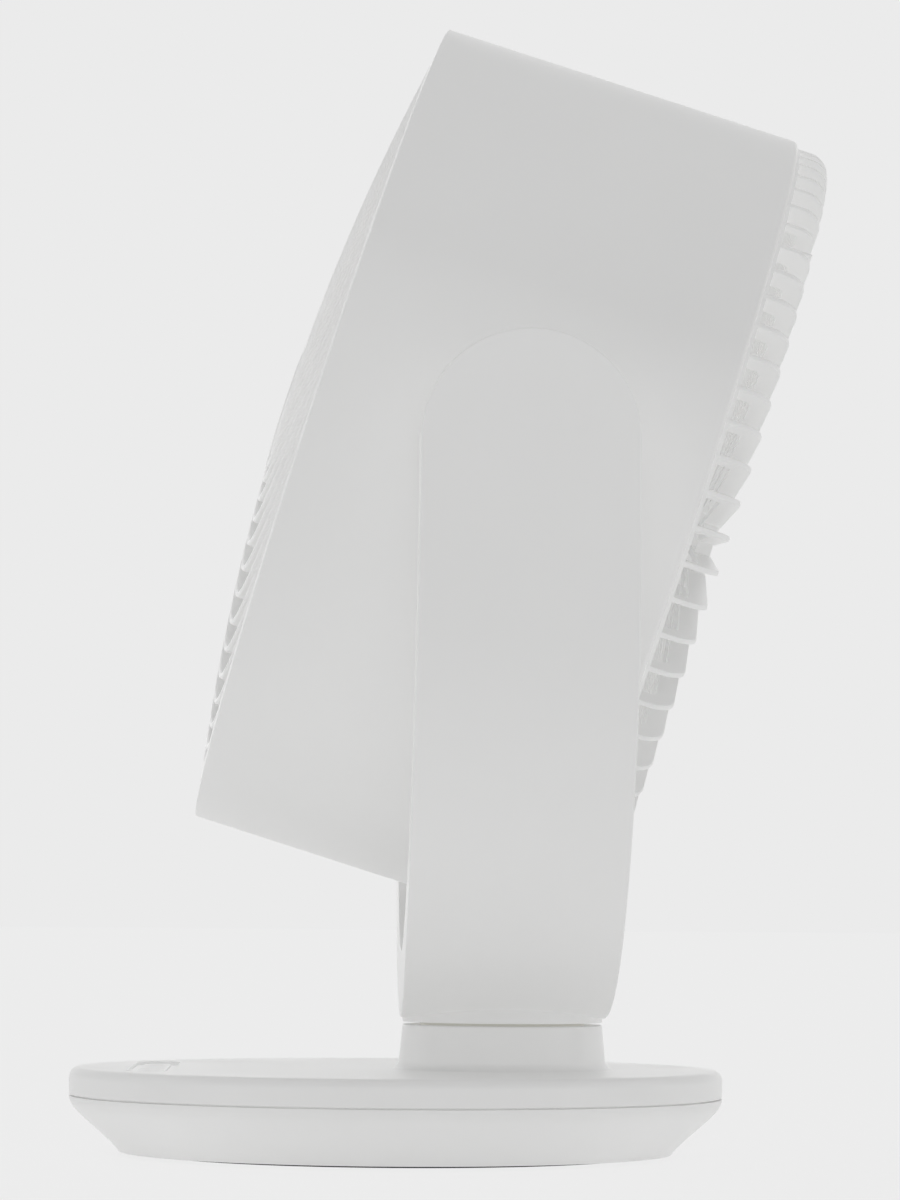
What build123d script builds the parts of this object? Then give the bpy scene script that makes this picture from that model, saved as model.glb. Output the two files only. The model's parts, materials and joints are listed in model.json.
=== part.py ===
from build123d import *
import os
from math import acos, cos, hypot, pi, radians, sin, sqrt, tan

# A table-top air circulator fan, in millimetres.
# Origin: centre of the round base on the plane that its rubber ring stands on. +Z is up,
# the fan blows towards -Y, and the tilt pivot runs along X.

# ---------------------------------------------------------------- driving dimensions
FIT = 0.05                    # radial clearance of a running or located fit
FOOT_HEIGHT = 1.0             # how far the rubber ring stands out below the base
FOOT_RING = (77.0, 69.0)      # outer and inner radius of that ring

BASE_R = 103.5                # radius of the round base
BASE_TOP_Z = 27.4             # top of the base
BASE_SEAM_Z = 18.4            # top of the lower dish, where the hairline seam runs
BASE_SEAM_GAP = 0.5
BASE_EDGE_R = 3.0             # rounding of the upper edge of the base
BASE_WALL = 2.5
DISH_FLAT_R = 87.6            # flat underside of the lower dish
FLOOR_Z = FOOT_HEIGHT + BASE_WALL

PAN_Y = 33.7                  # the swivel axis stands at x = 0, y = PAN_Y
COLLAR_R = 31.75
COLLAR_TOP_Z = 41.4
SWIVEL_GAP = 0.8              # open line between the collar and the yoke

PIVOT_Z = 214.5               # height of the tilt pivot
TILT = 17.43                  # the drum leans back by this angle at rest
DRUM_AHEAD = 3.4              # the drum's middle lies this far in front of the pivot
DRUM_R = 132.0
DRUM_LENGTH = 116.2
DRUM_WALL = 3.0

YOKE_OUTER = 158.0            # half the width across the arms
YOKE_INNER = 135.0            # half the clear width between the arms
YOKE_OUTER_R = 171.0          # lower curve of the yoke, about the pivot
YOKE_INNER_R = 150.0
YOKE_WALL = 2.5
ARM_FRONT_Y = 1.2             # the arm's front edge near the base
ARM_FRONT_TOP_Y = 3.2         # and near its rounded top
ARM_REAR_Y = 66.3
ARM_TOP_CENTRE_Z = 212.0

SWIRL_BARS = 30               # curved bars of the front grille
SWIRL_R = 128.0               # radius where a bar leaves the rim at a grazing angle
SWIRL_TURN = 200.0            # degrees that a bar would turn on its way from the rim to the centre
SWIRL_BEND = 1.55             # above 1: the bar turns inwards slowly at first
SWIRL_START = -66.0           # angle at which the first bar leaves the rim
SWIRL_ENDS = (14.0, 185.0, 8)  # degrees of turn where a bar is buried in the rim and in the hub
SWIRL_BAR = 1.8
SWIRL_SET_BACK = 0.2          # the bars lie this far behind the rim's face
SWIRL_DEPTH = 4.2
SUPPORT_RINGS = (46.0, 88.0)  # thin rings behind the bars
FRONT_HUB_R = 16.9
FRONT_RIM_R = 128.7           # the grille sits inside the drum's front edge
DOME_FRONT = -71.2            # crown of the front grille, measured from the drum's middle
DOME_R = 645.0                # radius of the grille's gentle dome

REAR_RIBS = 74
REAR_TURN = -0.8              # angle of the first rear rib
REAR_RIB = 1.8
REAR_RIM_R = 130.0
REAR_CORNER_R = 6.5           # rounding where the ribs turn inwards
REAR_BACK = 70.0              # flat back of the ribs and the hub
REAR_DEPTH = 6.0
REAR_HUB_R = 38.0
REAR_RING_R = 66.0            # every second rib ends on this ring

BLADES = 5
BLADE_TIP_R = 116.0
HUB_R = 28.0
SHAFT_R = 4.0
MOTOR_R = 32.0
MOTOR_WALL = 2.0
MOTOR_FRONT = 44.0            # where the motor's can meets its front cap
MOTOR_SCREW_R = 22.0          # the screws that hold the motor to the rear grille's hub

BUTTONS = 5
BUTTON_PITCH = 15.0
BUTTON_SIZE = (12.6, 8.6)
BUTTON_TRAVEL = 0.5
PANEL_Y = -77.0               # middle of the recess that holds the buttons
PANEL_SIZE = (100.0, 14.0)
PANEL_DEPTH = 1.2

GEAR_MODULE = 1.0
GEAR_BACKLASH = 0.30
PINION_TEETH = 12
SWIVEL_TEETH = 60
TILT_TEETH = 30

# ---------------------------------------------------------------- derived places
DRUM_HALF = DRUM_LENGTH / 2
DRUM_INNER_R = DRUM_R - DRUM_WALL
LEAN = radians(TILT)
PIVOT = Vector(0, PAN_Y, PIVOT_Z)
REARWARD = Vector(0, cos(LEAN), -sin(LEAN))
DRUM_CENTRE = PIVOT - REARWARD * DRUM_AHEAD
HEAD = Plane(origin=DRUM_CENTRE, x_dir=(1, 0, 0), z_dir=REARWARD).location
PAN = Pos(0, PAN_Y, 0)
NECK_Z = COLLAR_TOP_Z + SWIVEL_GAP
PLATE_Z = 30.0                # underside of the collar's bearing plate
PLATE_TOP_Z = 33.0
WASHER_TOP_Z = 34.5
TUBE_R = 15.0
TUBE_END_Z = 14.0
GEAR_Z = 18.5
GEAR_WIDTH = 4.0
PAN_PINION_Y = PAN_Y - GEAR_MODULE * (SWIVEL_TEETH + PINION_TEETH) / 2
TILT_PINION_Z = PIVOT_Z - GEAR_MODULE * (TILT_TEETH + PINION_TEETH) / 2
TILT_GEAR_X = 147.5
MOTOR_FACE_X = 146.0
MOTOR_FACE_Z = 15.5
BOSS_AT = [(sx * 44.0, sy * 44.0) for sx in (-1, 1) for sy in (-1, 1)]
ARM_SCREWS = [(14.0, 160.0), (53.5, 160.0), (34.7, 235.6)]
INLET_Y = 85.5                # back plate of the alcove that holds the inlet
INLET = Plane(origin=(0, INLET_Y, 10.4), x_dir=(1, 0, 0), z_dir=(0, 1, 0)).location
MOTOR_BACK = REAR_BACK - REAR_DEPTH
GRILLE_SCREW_R = DRUM_INNER_R - 4.2
BUTTON_X = [(i - (BUTTONS - 1) / 2) * BUTTON_PITCH for i in range(BUTTONS)]


# ---------------------------------------------------------------- shared shapes
def disc(radius, low, high):
    """An upright cylinder between two heights."""
    return Pos(0, 0, low) * Cylinder(radius, high - low, align=(Align.CENTER, Align.CENTER, Align.MIN))


def ring(outer, inner, low, high):
    """A plain upright ring between two heights."""
    return disc(outer, low, high) - disc(inner, low - 1, high + 1)


def turned(*lines):
    """A solid of revolution about Z from the closed outline of the given lines in XZ."""
    outline = Curve() + list(lines)
    return revolve(make_face((Plane.XZ * outline).edges()), axis=Axis.Z)


def block(x, y, z):
    """A box from three (low, high) pairs."""
    sizes = [high - low for low, high in (x, y, z)]
    middle = [(high + low) / 2 for low, high in (x, y, z)]
    return Pos(*middle) * Box(*sizes)


def side(sign, y=PAN_Y, z=PIVOT_Z):
    """The place of a part on the tilt side sign, whose local Z points outwards along X."""
    return Plane(origin=(0, y, z), x_dir=(0, 1, 0), z_dir=(sign, 0, 0)).location


def four_round(shape):
    """The same shape four times round Z, on the diagonals."""
    return [Rot(0, 0, 45 + 90 * i) * shape for i in range(4)]


def screw(head_r, head_h, shank_r, shank_h):
    """A pan-head screw: its head rests on z = 0 and its shank points down."""
    drive = disc(head_r * 0.42, head_h * 0.45, head_h + 1)
    head = fillet(disc(head_r, 0, head_h).edges().group_by(Axis.Z)[-1], head_h * 0.4)
    return head + disc(shank_r, -shank_h, 0) - drive


def gear(teeth, width, bore):
    """A spur gear with a tooth centred on local +X; flanks are involutes."""
    pitch_r = GEAR_MODULE * teeth / 2
    base_r = pitch_r * cos(radians(20))
    tip_r = pitch_r + 0.85 * GEAR_MODULE
    root_r = pitch_r - 1.2 * GEAR_MODULE
    half = (pi / 2 - GEAR_BACKLASH / GEAR_MODULE) / teeth
    start = max(base_r, root_r)
    involute_at_pitch = tan(radians(20)) - radians(20)
    flank = []
    for step in range(4):
        r = start + (tip_r - start) * step / 3
        slope = acos(min(1.0, base_r / r))
        flank.append((r, half + involute_at_pitch - (tan(slope) - slope)))
    flank.insert(0, (root_r, flank[0][1] + 0.2 / pitch_r))
    outline = []
    for tooth in range(teeth):
        middle = 2 * pi * tooth / teeth
        outline += [(r * cos(middle - a), r * sin(middle - a)) for r, a in flank]
        outline += [(r * cos(middle + a), r * sin(middle + a)) for r, a in reversed(flank)]
    wheel = extrude(make_face(Polyline(*outline, close=True).edges()), amount=width)
    return wheel - disc(bore, -1, width + 1)


def geared_motor(thickness):
    """A small geared motor: its shaft is on Z and its mounting face at z = 0."""
    can = Pos(0, -8, 0) * disc(14, -thickness, 0)
    ears = Pos(0, -8, -1) * extrude(SlotOverall(42, 7), amount=1)
    holes = [Pos(x, -8, 0) * disc(1.6, -2, 1) for x in (-17.5, 17.5)]
    lead_block = block((-7, 7), (-24.5, -20), (-thickness, -1.5))
    nose = disc(4.5, -0.5, 1.2) + disc(2.5, 0, 6.0)
    return can + ears + lead_block + nose - holes


# ---------------------------------------------------------------- base
def dish_outline(inset, top):
    """The bowl-shaped outline of the lower dish, drawn from the axis outwards."""
    flat_r = DISH_FLAT_R - inset
    low = FOOT_HEIGHT + inset
    rim = (BASE_R - inset, top)
    floor = Line((0, low), (flat_r, low))
    curve = Spline((flat_r, low), (99.4 - inset, 12.1 + inset * 0.4), rim, tangents=[(0.75, 1), (0.0, 1)])
    return floor, curve, rim


def base_bottom_dish():
    floor, curve, rim = dish_outline(0, BASE_SEAM_Z)
    dish = turned(floor, curve, Line(rim, (0, BASE_SEAM_Z)), Line((0, BASE_SEAM_Z), (0, FOOT_HEIGHT)))
    floor, curve, rim = dish_outline(BASE_WALL, BASE_SEAM_Z + 1)
    top = BASE_SEAM_Z + 1
    hollow = turned(floor, curve, Line(rim, (0, top)), Line((0, top), (0, FLOOR_Z)))
    lip = ring(BASE_R - BASE_WALL - 0.2, BASE_R - BASE_WALL - 2.2, BASE_SEAM_Z - 4, BASE_SEAM_Z + 2.5)
    lip &= disc(BASE_R, BASE_SEAM_Z - 4, BASE_SEAM_Z + 2.5)
    dish = dish - hollow + lip
    alcove = block((-11, 11), (INLET_Y, 100), (FLOOR_Z - 1, 17.0))
    alcove &= turned(*[Line(a, b) for a, b in dish_wedge()])
    dish += alcove
    dish -= block((-8.5, 8.5), (INLET_Y + 2.5, 120), (5.5, 15.2))
    dish -= INLET * disc(4.45, -5, 20)
    dish -= ring(FOOT_RING[0] + 0.1, FOOT_RING[1] - 0.1, 0, FOOT_HEIGHT + 1)
    for x, y in BOSS_AT:
        dish -= Pos(x, y, 0) * disc(2.2, 0, 5)
        dish -= Pos(x, y, 0) * disc(4.2, 0, FOOT_HEIGHT + 1.3)
    for x in (-17.5, 17.5):
        post = ring(3, 1.45, FLOOR_Z, MOTOR_FACE_Z - 1)
        dish += Pos(x, PAN_PINION_Y - 8, 0) * post
    return dish


def dish_wedge():
    """The space inside the dish's outer skin, as straight lines, for trimming the alcove."""
    points = [(0, FOOT_HEIGHT + 0.5), (88.0, FOOT_HEIGHT + 0.5), (98.0, 11.5), (102.0, 16.5), (102.5, 18), (0, 18)]
    return list(zip(points, points[1:] + points[:1]))


def collar():
    """The raised round collar that carries the yoke, with its bearing plate."""
    foot_r = COLLAR_R + 4.2
    wall = Line((COLLAR_R, COLLAR_TOP_Z - 0.6), (COLLAR_R + 1.0, 30.4))
    flare = Spline((COLLAR_R + 1.0, 30.4), (foot_r, BASE_TOP_Z - 0.01), tangents=[(0.1, -1), (1, -0.05)])
    outline = [
        Line((0, COLLAR_TOP_Z), (COLLAR_R - 0.6, COLLAR_TOP_Z)),
        Line((COLLAR_R - 0.6, COLLAR_TOP_Z), (COLLAR_R, COLLAR_TOP_Z - 0.6)),
        wall,
        flare,
        Line((foot_r, BASE_TOP_Z - 0.01), (foot_r, BASE_TOP_Z - 2)),
        Line((foot_r, BASE_TOP_Z - 2), (0, BASE_TOP_Z - 2)),
        Line((0, BASE_TOP_Z - 2), (0, COLLAR_TOP_Z)),
    ]
    return turned(*outline)


def base_top_cover():
    low = BASE_SEAM_Z + BASE_SEAM_GAP
    edge_z = BASE_TOP_Z - BASE_EDGE_R
    edge_r = BASE_R - BASE_EDGE_R
    bend = BASE_EDGE_R * (1 - sqrt(0.5))
    skin = turned(
        Line((0, low), (BASE_R, low)),
        Line((BASE_R, low), (BASE_R, edge_z)),
        ThreePointArc((BASE_R, edge_z), (BASE_R - bend, BASE_TOP_Z - bend), (edge_r, BASE_TOP_Z)),
        Line((edge_r, BASE_TOP_Z), (0, BASE_TOP_Z)),
        Line((0, BASE_TOP_Z), (0, low)),
    )
    under = BASE_TOP_Z - 3.0
    cover = skin - disc(BASE_R - BASE_WALL, low - 1, under) + PAN * collar()
    cover -= PAN * disc(29.2, low, PLATE_Z)
    cover -= PAN * disc(29.2, PLATE_TOP_Z, COLLAR_TOP_Z + 1)
    cover -= PAN * disc(17.5 + FIT, low, COLLAR_TOP_Z)
    for x, y in BOSS_AT:
        cover += Pos(x, y, 0) * disc(5, FLOOR_Z, under + 1)
    for x, y in BOSS_AT:
        cover -= Pos(x, y, 0) * disc(1.9 + FIT, FLOOR_Z - 1, 16)
    recess = extrude(SlotOverall(*PANEL_SIZE), amount=PANEL_DEPTH + 1)
    cover -= Pos(0, PANEL_Y, BASE_TOP_Z - PANEL_DEPTH) * recess
    window = extrude(RectangleRounded(BUTTON_SIZE[0] + 0.5, BUTTON_SIZE[1] + 0.5, 2.6), amount=6)
    for x in BUTTON_X:
        cover -= Pos(x, PANEL_Y, under - 1) * window
    for x in (-39.5, 39.5):
        for y in (PANEL_Y - 7, PANEL_Y + 7):
            cover += Pos(x, y, 0) * ring(2.6, 1.1, 17.6, under + 0.5)
    return cover


def push_button(x):
    cap = extrude(RectangleRounded(*BUTTON_SIZE, 2.4), amount=4.0)
    cap = fillet(cap.edges().group_by(Axis.Z)[-1], 0.5)
    cap = Pos(x, PANEL_Y, BASE_TOP_Z - 0.4 - 4.0) * cap
    flange = block((x - 7.2, x + 7.2), (PANEL_Y - 5.6, PANEL_Y + 5.6), (BASE_TOP_Z - 4.2, BASE_TOP_Z - 3.2))
    stem = Pos(x, PANEL_Y, 0) * disc(1.8, 20.0 + BUTTON_TRAVEL + 0.1, BASE_TOP_Z - 4.0)
    return cap + flange + stem


def control_board():
    board = block((-43, 43), (PANEL_Y - 9.5, PANEL_Y + 10), (16.0, 17.6))
    for x in BUTTON_X:
        board += block((x - 3, x + 3), (PANEL_Y - 3, PANEL_Y + 3), (17.5, 19.0))
        board += Pos(x, PANEL_Y, 0) * disc(1.7, 18.5, 20.0)
    board += block((-14, 14), (PANEL_Y - 3, PANEL_Y + 9), (13.0, 16.2))
    for x in (-39.5, 39.5):
        for y in (PANEL_Y - 7, PANEL_Y + 7):
            board -= Pos(x, y, 0) * disc(1.3, 15, 18)
    return board


def board_screws():
    places = [(x, y) for x in (-39.5, 39.5) for y in (PANEL_Y - 7, PANEL_Y + 7)]
    return [Pos(x, y, 16.0) * Rot(180, 0, 0) * screw(2.2, 1.2, 1.05, 6) for x, y in places]


def base_ballast():
    plate = ring(84, 50, FLOOR_Z, FLOOR_Z + 4)
    for x, y in BOSS_AT:
        plate -= Pos(x, y, 0) * disc(5.6, 0, 20)
    return plate - block((-14, 14), (68, 100), (0, 20))


def rubber_foot_ring():
    pad = ring(*FOOT_RING, 0, FOOT_HEIGHT + 1)
    return fillet(pad.edges().group_by(Axis.Z)[0], 0.5)


def base_screws():
    return [Pos(x, y, FOOT_HEIGHT + 1.3) * Rot(180, 0, 0) * screw(3.8, 1.2, 1.9, 11) for x, y in BOSS_AT]


def dc_inlet():
    """The socket for the low-voltage plug, in its alcove at the back of the base."""
    body = block((-6.5, 6.5), (INLET_Y - 12, INLET_Y), (6.0, 15.4))
    body += INLET * disc(4.4, -1, 3.6)
    body -= INLET * disc(2.9, -7, 10)
    legs = [block((x - 1, x + 1), (INLET_Y - 10, INLET_Y - 3), (FLOOR_Z, 6.1)) for x in (-5, 5)]
    return body + INLET * disc(1.0, -8, 2.6) + legs


def pan_motor():
    return Pos(0, PAN_PINION_Y, MOTOR_FACE_Z) * geared_motor(MOTOR_FACE_Z - FLOOR_Z)


def pan_motor_screws():
    return [Pos(x, PAN_PINION_Y - 8, MOTOR_FACE_Z) * screw(2.8, 1.6, 1.4, 8) for x in (-17.5, 17.5)]


def pinion():
    """A pinion whose tooth gap faces local +X, where the big gear's tooth meets it."""
    return Rot(0, 0, 180 / PINION_TEETH) * gear(PINION_TEETH, GEAR_WIDTH, 2.5 + 0.01)


def pan_pinion():
    return Pos(0, PAN_PINION_Y, GEAR_Z) * Rot(0, 0, 90) * pinion()


def swivel_bush():
    bush = ring(17.5, TUBE_R + FIT, PLATE_Z - 1.5, PLATE_TOP_Z) + ring(20, TUBE_R + FIT, PLATE_Z - 1.5, PLATE_Z)
    return PAN * bush


def swivel_washer():
    return PAN * ring(25.5, TUBE_R + 1.0, PLATE_TOP_Z, WASHER_TOP_Z)


# ---------------------------------------------------------------- yoke
def swivel_tube():
    tube = disc(26, WASHER_TOP_Z, NECK_Z) + disc(TUBE_R, TUBE_END_Z, NECK_Z) + disc(14, NECK_Z, 49)
    tube -= disc(11, 0, 60)
    tube -= ring(20, TUBE_R - 1.2, GEAR_Z - 2.0, GEAR_Z - 0.5)
    tube -= four_round(Pos(20, 0, 0) * disc(1.9 + FIT, WASHER_TOP_Z - 1, 60))
    return PAN * tube


def swivel_gear():
    wheel = Rot(0, 0, -90) * gear(SWIVEL_TEETH, GEAR_WIDTH, TUBE_R + 0.02)
    wheel = Pos(0, 0, GEAR_Z) * wheel
    for i in range(6):
        wheel -= Rot(0, 0, 60 * i + 30) * Pos(22.7, 0, 0) * disc(3.4, 0, 40)
    return PAN * (wheel + ring(18, TUBE_R + 0.02, GEAR_Z + GEAR_WIDTH, PLATE_Z - 1.8))


def swivel_clip():
    clip = ring(18.5, TUBE_R - 1.2 + 0.02, GEAR_Z - 1.9, GEAR_Z - 0.55)
    return PAN * (clip - block((-4, 4), (5, 30), (0, 40)))


def swivel_screws():
    return [PAN * one for one in four_round(Pos(20, 0, 48.0) * screw(3.2, 2.0, 1.9, 11))]


def yoke_plug(half, radius, blend):
    """The filled U seen from the front: two upright sides joined by an arc about the pivot."""
    drop = sqrt(radius * radius - half * half)
    top = 60
    outline = Curve() + [
        Line((-half, top), (-half, -drop)),
        ThreePointArc((-half, -drop), (0, -radius), (half, -drop)),
        Line((half, -drop), (half, top)),
        Line((half, top), (-half, top)),
    ]
    face = make_face(outline.edges())
    corners = [v for v in face.vertices() if v.Y < 0]
    face = fillet(corners, blend)
    front = Plane(origin=(0, PAN_Y, PIVOT_Z), x_dir=(1, 0, 0), z_dir=(0, -1, 0))
    return extrude(front * face, amount=50, both=True)


def arm_outline(inset):
    """The yoke seen from the side: straight edges and a half-round top, through its width."""
    centre_y = (ARM_FRONT_TOP_Y + ARM_REAR_Y) / 2
    radius = (ARM_REAR_Y - ARM_FRONT_TOP_Y) / 2 - inset
    front, rear, top = centre_y - radius, ARM_REAR_Y - inset, ARM_TOP_CENTRE_Z
    outline = Curve() + [
        Line((ARM_FRONT_Y + inset, 30), (ARM_FRONT_Y + inset, 60)),
        Line((ARM_FRONT_Y + inset, 60), (front, top - 16)),
        Line((front, top - 16), (front, top)),
        ThreePointArc((front, top), (centre_y, top + radius), (rear, top)),
        Line((rear, top), (rear, 30)),
        Line((rear, 30), (ARM_FRONT_Y + inset, 30)),
    ]
    return extrude(Plane.YZ * make_face(outline.edges()), amount=200, both=True)


def is_outer_edge(edge):
    """True for the long edges between the yoke's outer skin and its sides."""
    middle = edge.position_at(0.5)
    far = hypot(middle.X, middle.Z - PIVOT_Z) > YOKE_OUTER_R - 4 or abs(middle.X) > YOKE_OUTER - 0.1
    return far and abs(edge.tangent_at(0.5).Y) < 0.99 and middle.Z < PIVOT_Z + 40


def yoke_outer_cover():
    band = yoke_plug(YOKE_OUTER, YOKE_OUTER_R, 90) - yoke_plug(YOKE_INNER, YOKE_INNER_R, 60)
    band &= arm_outline(0)
    band = fillet([e for e in band.edges() if is_outer_edge(e)], 3.0)
    cavity = yoke_plug(YOKE_OUTER - YOKE_WALL, YOKE_OUTER_R - YOKE_WALL, 88)
    cavity &= arm_outline(YOKE_WALL)
    cover = band + PAN * disc(COLLAR_R, NECK_Z, 50) - cavity
    cover -= PAN * disc(14 + FIT, 30, 60)
    for i in range(4):
        at = PAN * Rot(0, 0, 45 + 90 * i) * Pos(20, 0, 0)
        cover += at * disc(4.5, 44, 48)
        cover -= at * disc(1.9 + FIT, 40, 60)
    for sign in (-1, 1):
        for y, z in ARM_SCREWS:
            cover += side(sign, y, z) * ring(4, 1.3, YOKE_INNER + YOKE_WALL, YOKE_OUTER - YOKE_WALL + 0.5)
    return cover


def yoke_inner_shell():
    skin = yoke_plug(YOKE_INNER + YOKE_WALL, YOKE_INNER_R + YOKE_WALL, 61.5)
    shell = (skin - yoke_plug(YOKE_INNER, YOKE_INNER_R, 60)) & arm_outline(YOKE_WALL + 0.15)
    for sign in (-1, 1):
        shell += side(sign) * disc(14.8, YOKE_INNER + 1, 142)
        shell -= side(sign) * disc(13 + 0.02, YOKE_INNER - 10, 160)
        for y, z in ARM_SCREWS:
            shell -= side(sign, y, z) * disc(1.6, 130, 140)
            shell -= side(sign, y, z) * disc(3.2, 130, YOKE_INNER + 1.3)
    for y in (PAN_Y - 17.5, PAN_Y + 17.5):
        shell += side(1, y, TILT_PINION_Z - 8) * ring(3, 1.45, YOKE_INNER + 2, MOTOR_FACE_X - 1)
    return shell


def yoke_screws():
    one = Pos(0, 0, YOKE_INNER + 1.3) * Rot(180, 0, 0) * screw(3.0, 1.2, 1.25, 10)
    return [side(sign, y, z) * one for sign in (-1, 1) for y, z in ARM_SCREWS]


def pivot_bush(sign):
    bush = ring(13, 10 + FIT, YOKE_INNER - 1.2, 142) + ring(16, 10 + FIT, YOKE_INNER - 1.2, YOKE_INNER)
    return side(sign) * bush


def tilt_motor():
    return side(1, PAN_Y, TILT_PINION_Z) * Pos(0, 0, MOTOR_FACE_X) * geared_motor(8.5)


def tilt_motor_screws():
    one = Pos(0, 0, MOTOR_FACE_X) * screw(2.8, 1.6, 1.4, 6)
    return [side(1, PAN_Y + y, TILT_PINION_Z - 8) * one for y in (-17.5, 17.5)]


def tilt_pinion():
    return side(1, PAN_Y, TILT_PINION_Z) * Pos(0, 0, TILT_GEAR_X) * Rot(0, 0, 90) * pinion()


# ---------------------------------------------------------------- head, in the drum's own frame
def dome(r):
    """Where the front grille's face lies at radius r."""
    return DOME_FRONT + r * r / (2 * DOME_R)


def drum_housing():
    shell = fillet(disc(DRUM_R, -DRUM_HALF, DRUM_HALF).edges().group_by(Axis.Z)[-1], 1.4)
    ledge_z = -DRUM_HALF + 8.1
    shell -= disc(DRUM_INNER_R, -DRUM_HALF - 1, DRUM_HALF + 1)
    shell += ring(DRUM_INNER_R + 1, 126.4, ledge_z, ledge_z + 3)
    shell = HEAD * (shell + four_round(Pos(GRILLE_SCREW_R, 0, 0) * ring(4.5, 1.3, 40, 54)))
    for sign in (-1, 1):
        shell += side(sign) * (disc(18, 126, DRUM_R - 1) + disc(20, DRUM_R - 2.5, DRUM_R + 1.5))
    for sign in (-1, 1):
        shell -= side(sign) * disc(10, 100, 150)
        for i in range(3):
            shell -= side(sign) * Rot(0, 0, 120 * i) * Pos(12.6, 0, 0) * disc(1.3, 120, 131)
    return shell


def swirl_corner(turn, aside, depth):
    """A corner of a front bar's section, after so many degrees of turn from the rim."""
    r = SWIRL_R * (1 - (turn / SWIRL_TURN) ** SWIRL_BEND)
    inwards = SWIRL_R * SWIRL_BEND / radians(SWIRL_TURN) * (turn / SWIRL_TURN) ** (SWIRL_BEND - 1)
    along, across = aside * r / hypot(r, inwards), aside * inwards / hypot(r, inwards)
    angle = radians(SWIRL_START + turn)
    x = (r + along) * cos(angle) - across * sin(angle)
    y = (r + along) * sin(angle) + across * cos(angle)
    return (x, y, dome(r) + depth)


def swirl_bar():
    """One bar of the front grille: it leaves the rim at a grazing angle and spirals in to the hub."""
    first, last, steps = SWIRL_ENDS
    turns = [first + (last - first) * i / steps for i in range(steps + 1)]
    half = SWIRL_BAR / 2
    corners = [(half, SWIRL_SET_BACK), (half, SWIRL_DEPTH), (-half, SWIRL_DEPTH), (-half, SWIRL_SET_BACK)]
    rails = [Spline(*[swirl_corner(turn, aside, depth) for turn in turns]) for aside, depth in corners]
    sides = [Face.make_surface_from_curves(a, b) for a, b in zip(rails, rails[1:] + rails[:1])]
    ends = [make_face(Polyline(*[rail @ at for rail in rails], close=True).edges()) for at in (0, 1)]
    return Solid(Shell(sides + ends))


def front_grille():
    bar = swirl_bar()
    bars = [Rot(0, 0, 360 / SWIRL_BARS * i) * bar for i in range(SWIRL_BARS)]
    supports = [ring(r + 0.9, r - 0.9, dome(r) + SWIRL_DEPTH - 1.2, dome(r) + SWIRL_DEPTH + 1.6)
                for r in SUPPORT_RINGS]
    rim_inner = FRONT_RIM_R - 6.5
    skirt_back = -DRUM_HALF + 8.1
    rim = [(rim_inner, dome(rim_inner)), (FRONT_RIM_R, dome(FRONT_RIM_R)), (FRONT_RIM_R, skirt_back),
           (126.4, skirt_back), (126.4, dome(rim_inner) + 5), (rim_inner, dome(rim_inner) + 5)]
    rim = turned(*[Line(a, b) for a, b in zip(rim, rim[1:] + rim[:1])])
    hub = disc(FRONT_HUB_R, DOME_FRONT, DOME_FRONT + 5.4) - disc(14.1, -80, DOME_FRONT + 1.6)
    return HEAD * (rim + [hub, *bars] + supports)


def front_badge():
    """A plain disc in the middle of the front grille."""
    badge = fillet(disc(14, DOME_FRONT + 0.1, DOME_FRONT + 1.6).edges().group_by(Axis.Z)[0], 0.5)
    return HEAD * badge


def rear_rib_outline():
    """One rear rib: it runs straight back from the rim, turns and runs in to the hub."""
    hub = REAR_HUB_R - 2
    inner_r = REAR_RIM_R - REAR_DEPTH
    outline = Polyline((REAR_RIM_R, DRUM_HALF), (REAR_RIM_R, REAR_BACK), (hub, REAR_BACK),
                       (hub, MOTOR_BACK), (inner_r, MOTOR_BACK), (inner_r, DRUM_HALF), close=True)
    face = make_face(outline.edges())
    corner = face.vertices().sort_by_distance((REAR_RIM_R, REAR_BACK))[0]
    face = fillet(corner, REAR_CORNER_R)
    inside = face.vertices().sort_by_distance((inner_r, MOTOR_BACK))[0]
    return fillet(inside, 2.0)


def rear_grille():
    rib = extrude(Plane.XZ * rear_rib_outline(), amount=REAR_RIB / 2, both=True)
    lengths = (rib, rib - disc(REAR_RING_R, 0, 100))
    spin = 360 / REAR_RIBS
    ribs = [Rot(0, 0, REAR_TURN + spin * i) * lengths[i % 2] for i in range(REAR_RIBS)]
    frame = ring(DRUM_INNER_R - 0.2, 119.5, 54, DRUM_HALF) + ring(REAR_RIM_R, 122.5, DRUM_HALF, DRUM_HALF + 1.2)
    frame -= four_round(Pos(GRILLE_SCREW_R, 0, 0) * disc(1.7, 50, 70))
    middle_ring = ring(REAR_RING_R + 1.2, REAR_RING_R - 1.2, REAR_BACK - 5.6, REAR_BACK - 0.8)
    hub = fillet(disc(REAR_HUB_R, MOTOR_BACK, REAR_BACK).edges().group_by(Axis.Z)[-1], 1.0)
    hub -= disc(31, REAR_BACK - 2.2, REAR_BACK + 1)
    grille = frame + [middle_ring, hub, *ribs]
    grille -= four_round(Pos(MOTOR_SCREW_R, 0, 0) * (disc(1.7, 60, 80) + disc(3.1, REAR_BACK - 4.1, 80)))
    grille -= four_round(Pos(GRILLE_SCREW_R, 0, 0) * disc(3.4, DRUM_HALF - 1.2, 90))
    return HEAD * grille


def rear_hub_cap():
    return HEAD * fillet(disc(30.9, REAR_BACK - 2.2, REAR_BACK + 0.2).edges().group_by(Axis.Z)[-1], 0.5)


def rear_grille_screws():
    one = Pos(GRILLE_SCREW_R, 0, DRUM_HALF - 1.2) * screw(3.2, 1.8, 1.25, 12)
    return [HEAD * each for each in four_round(one)]


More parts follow.
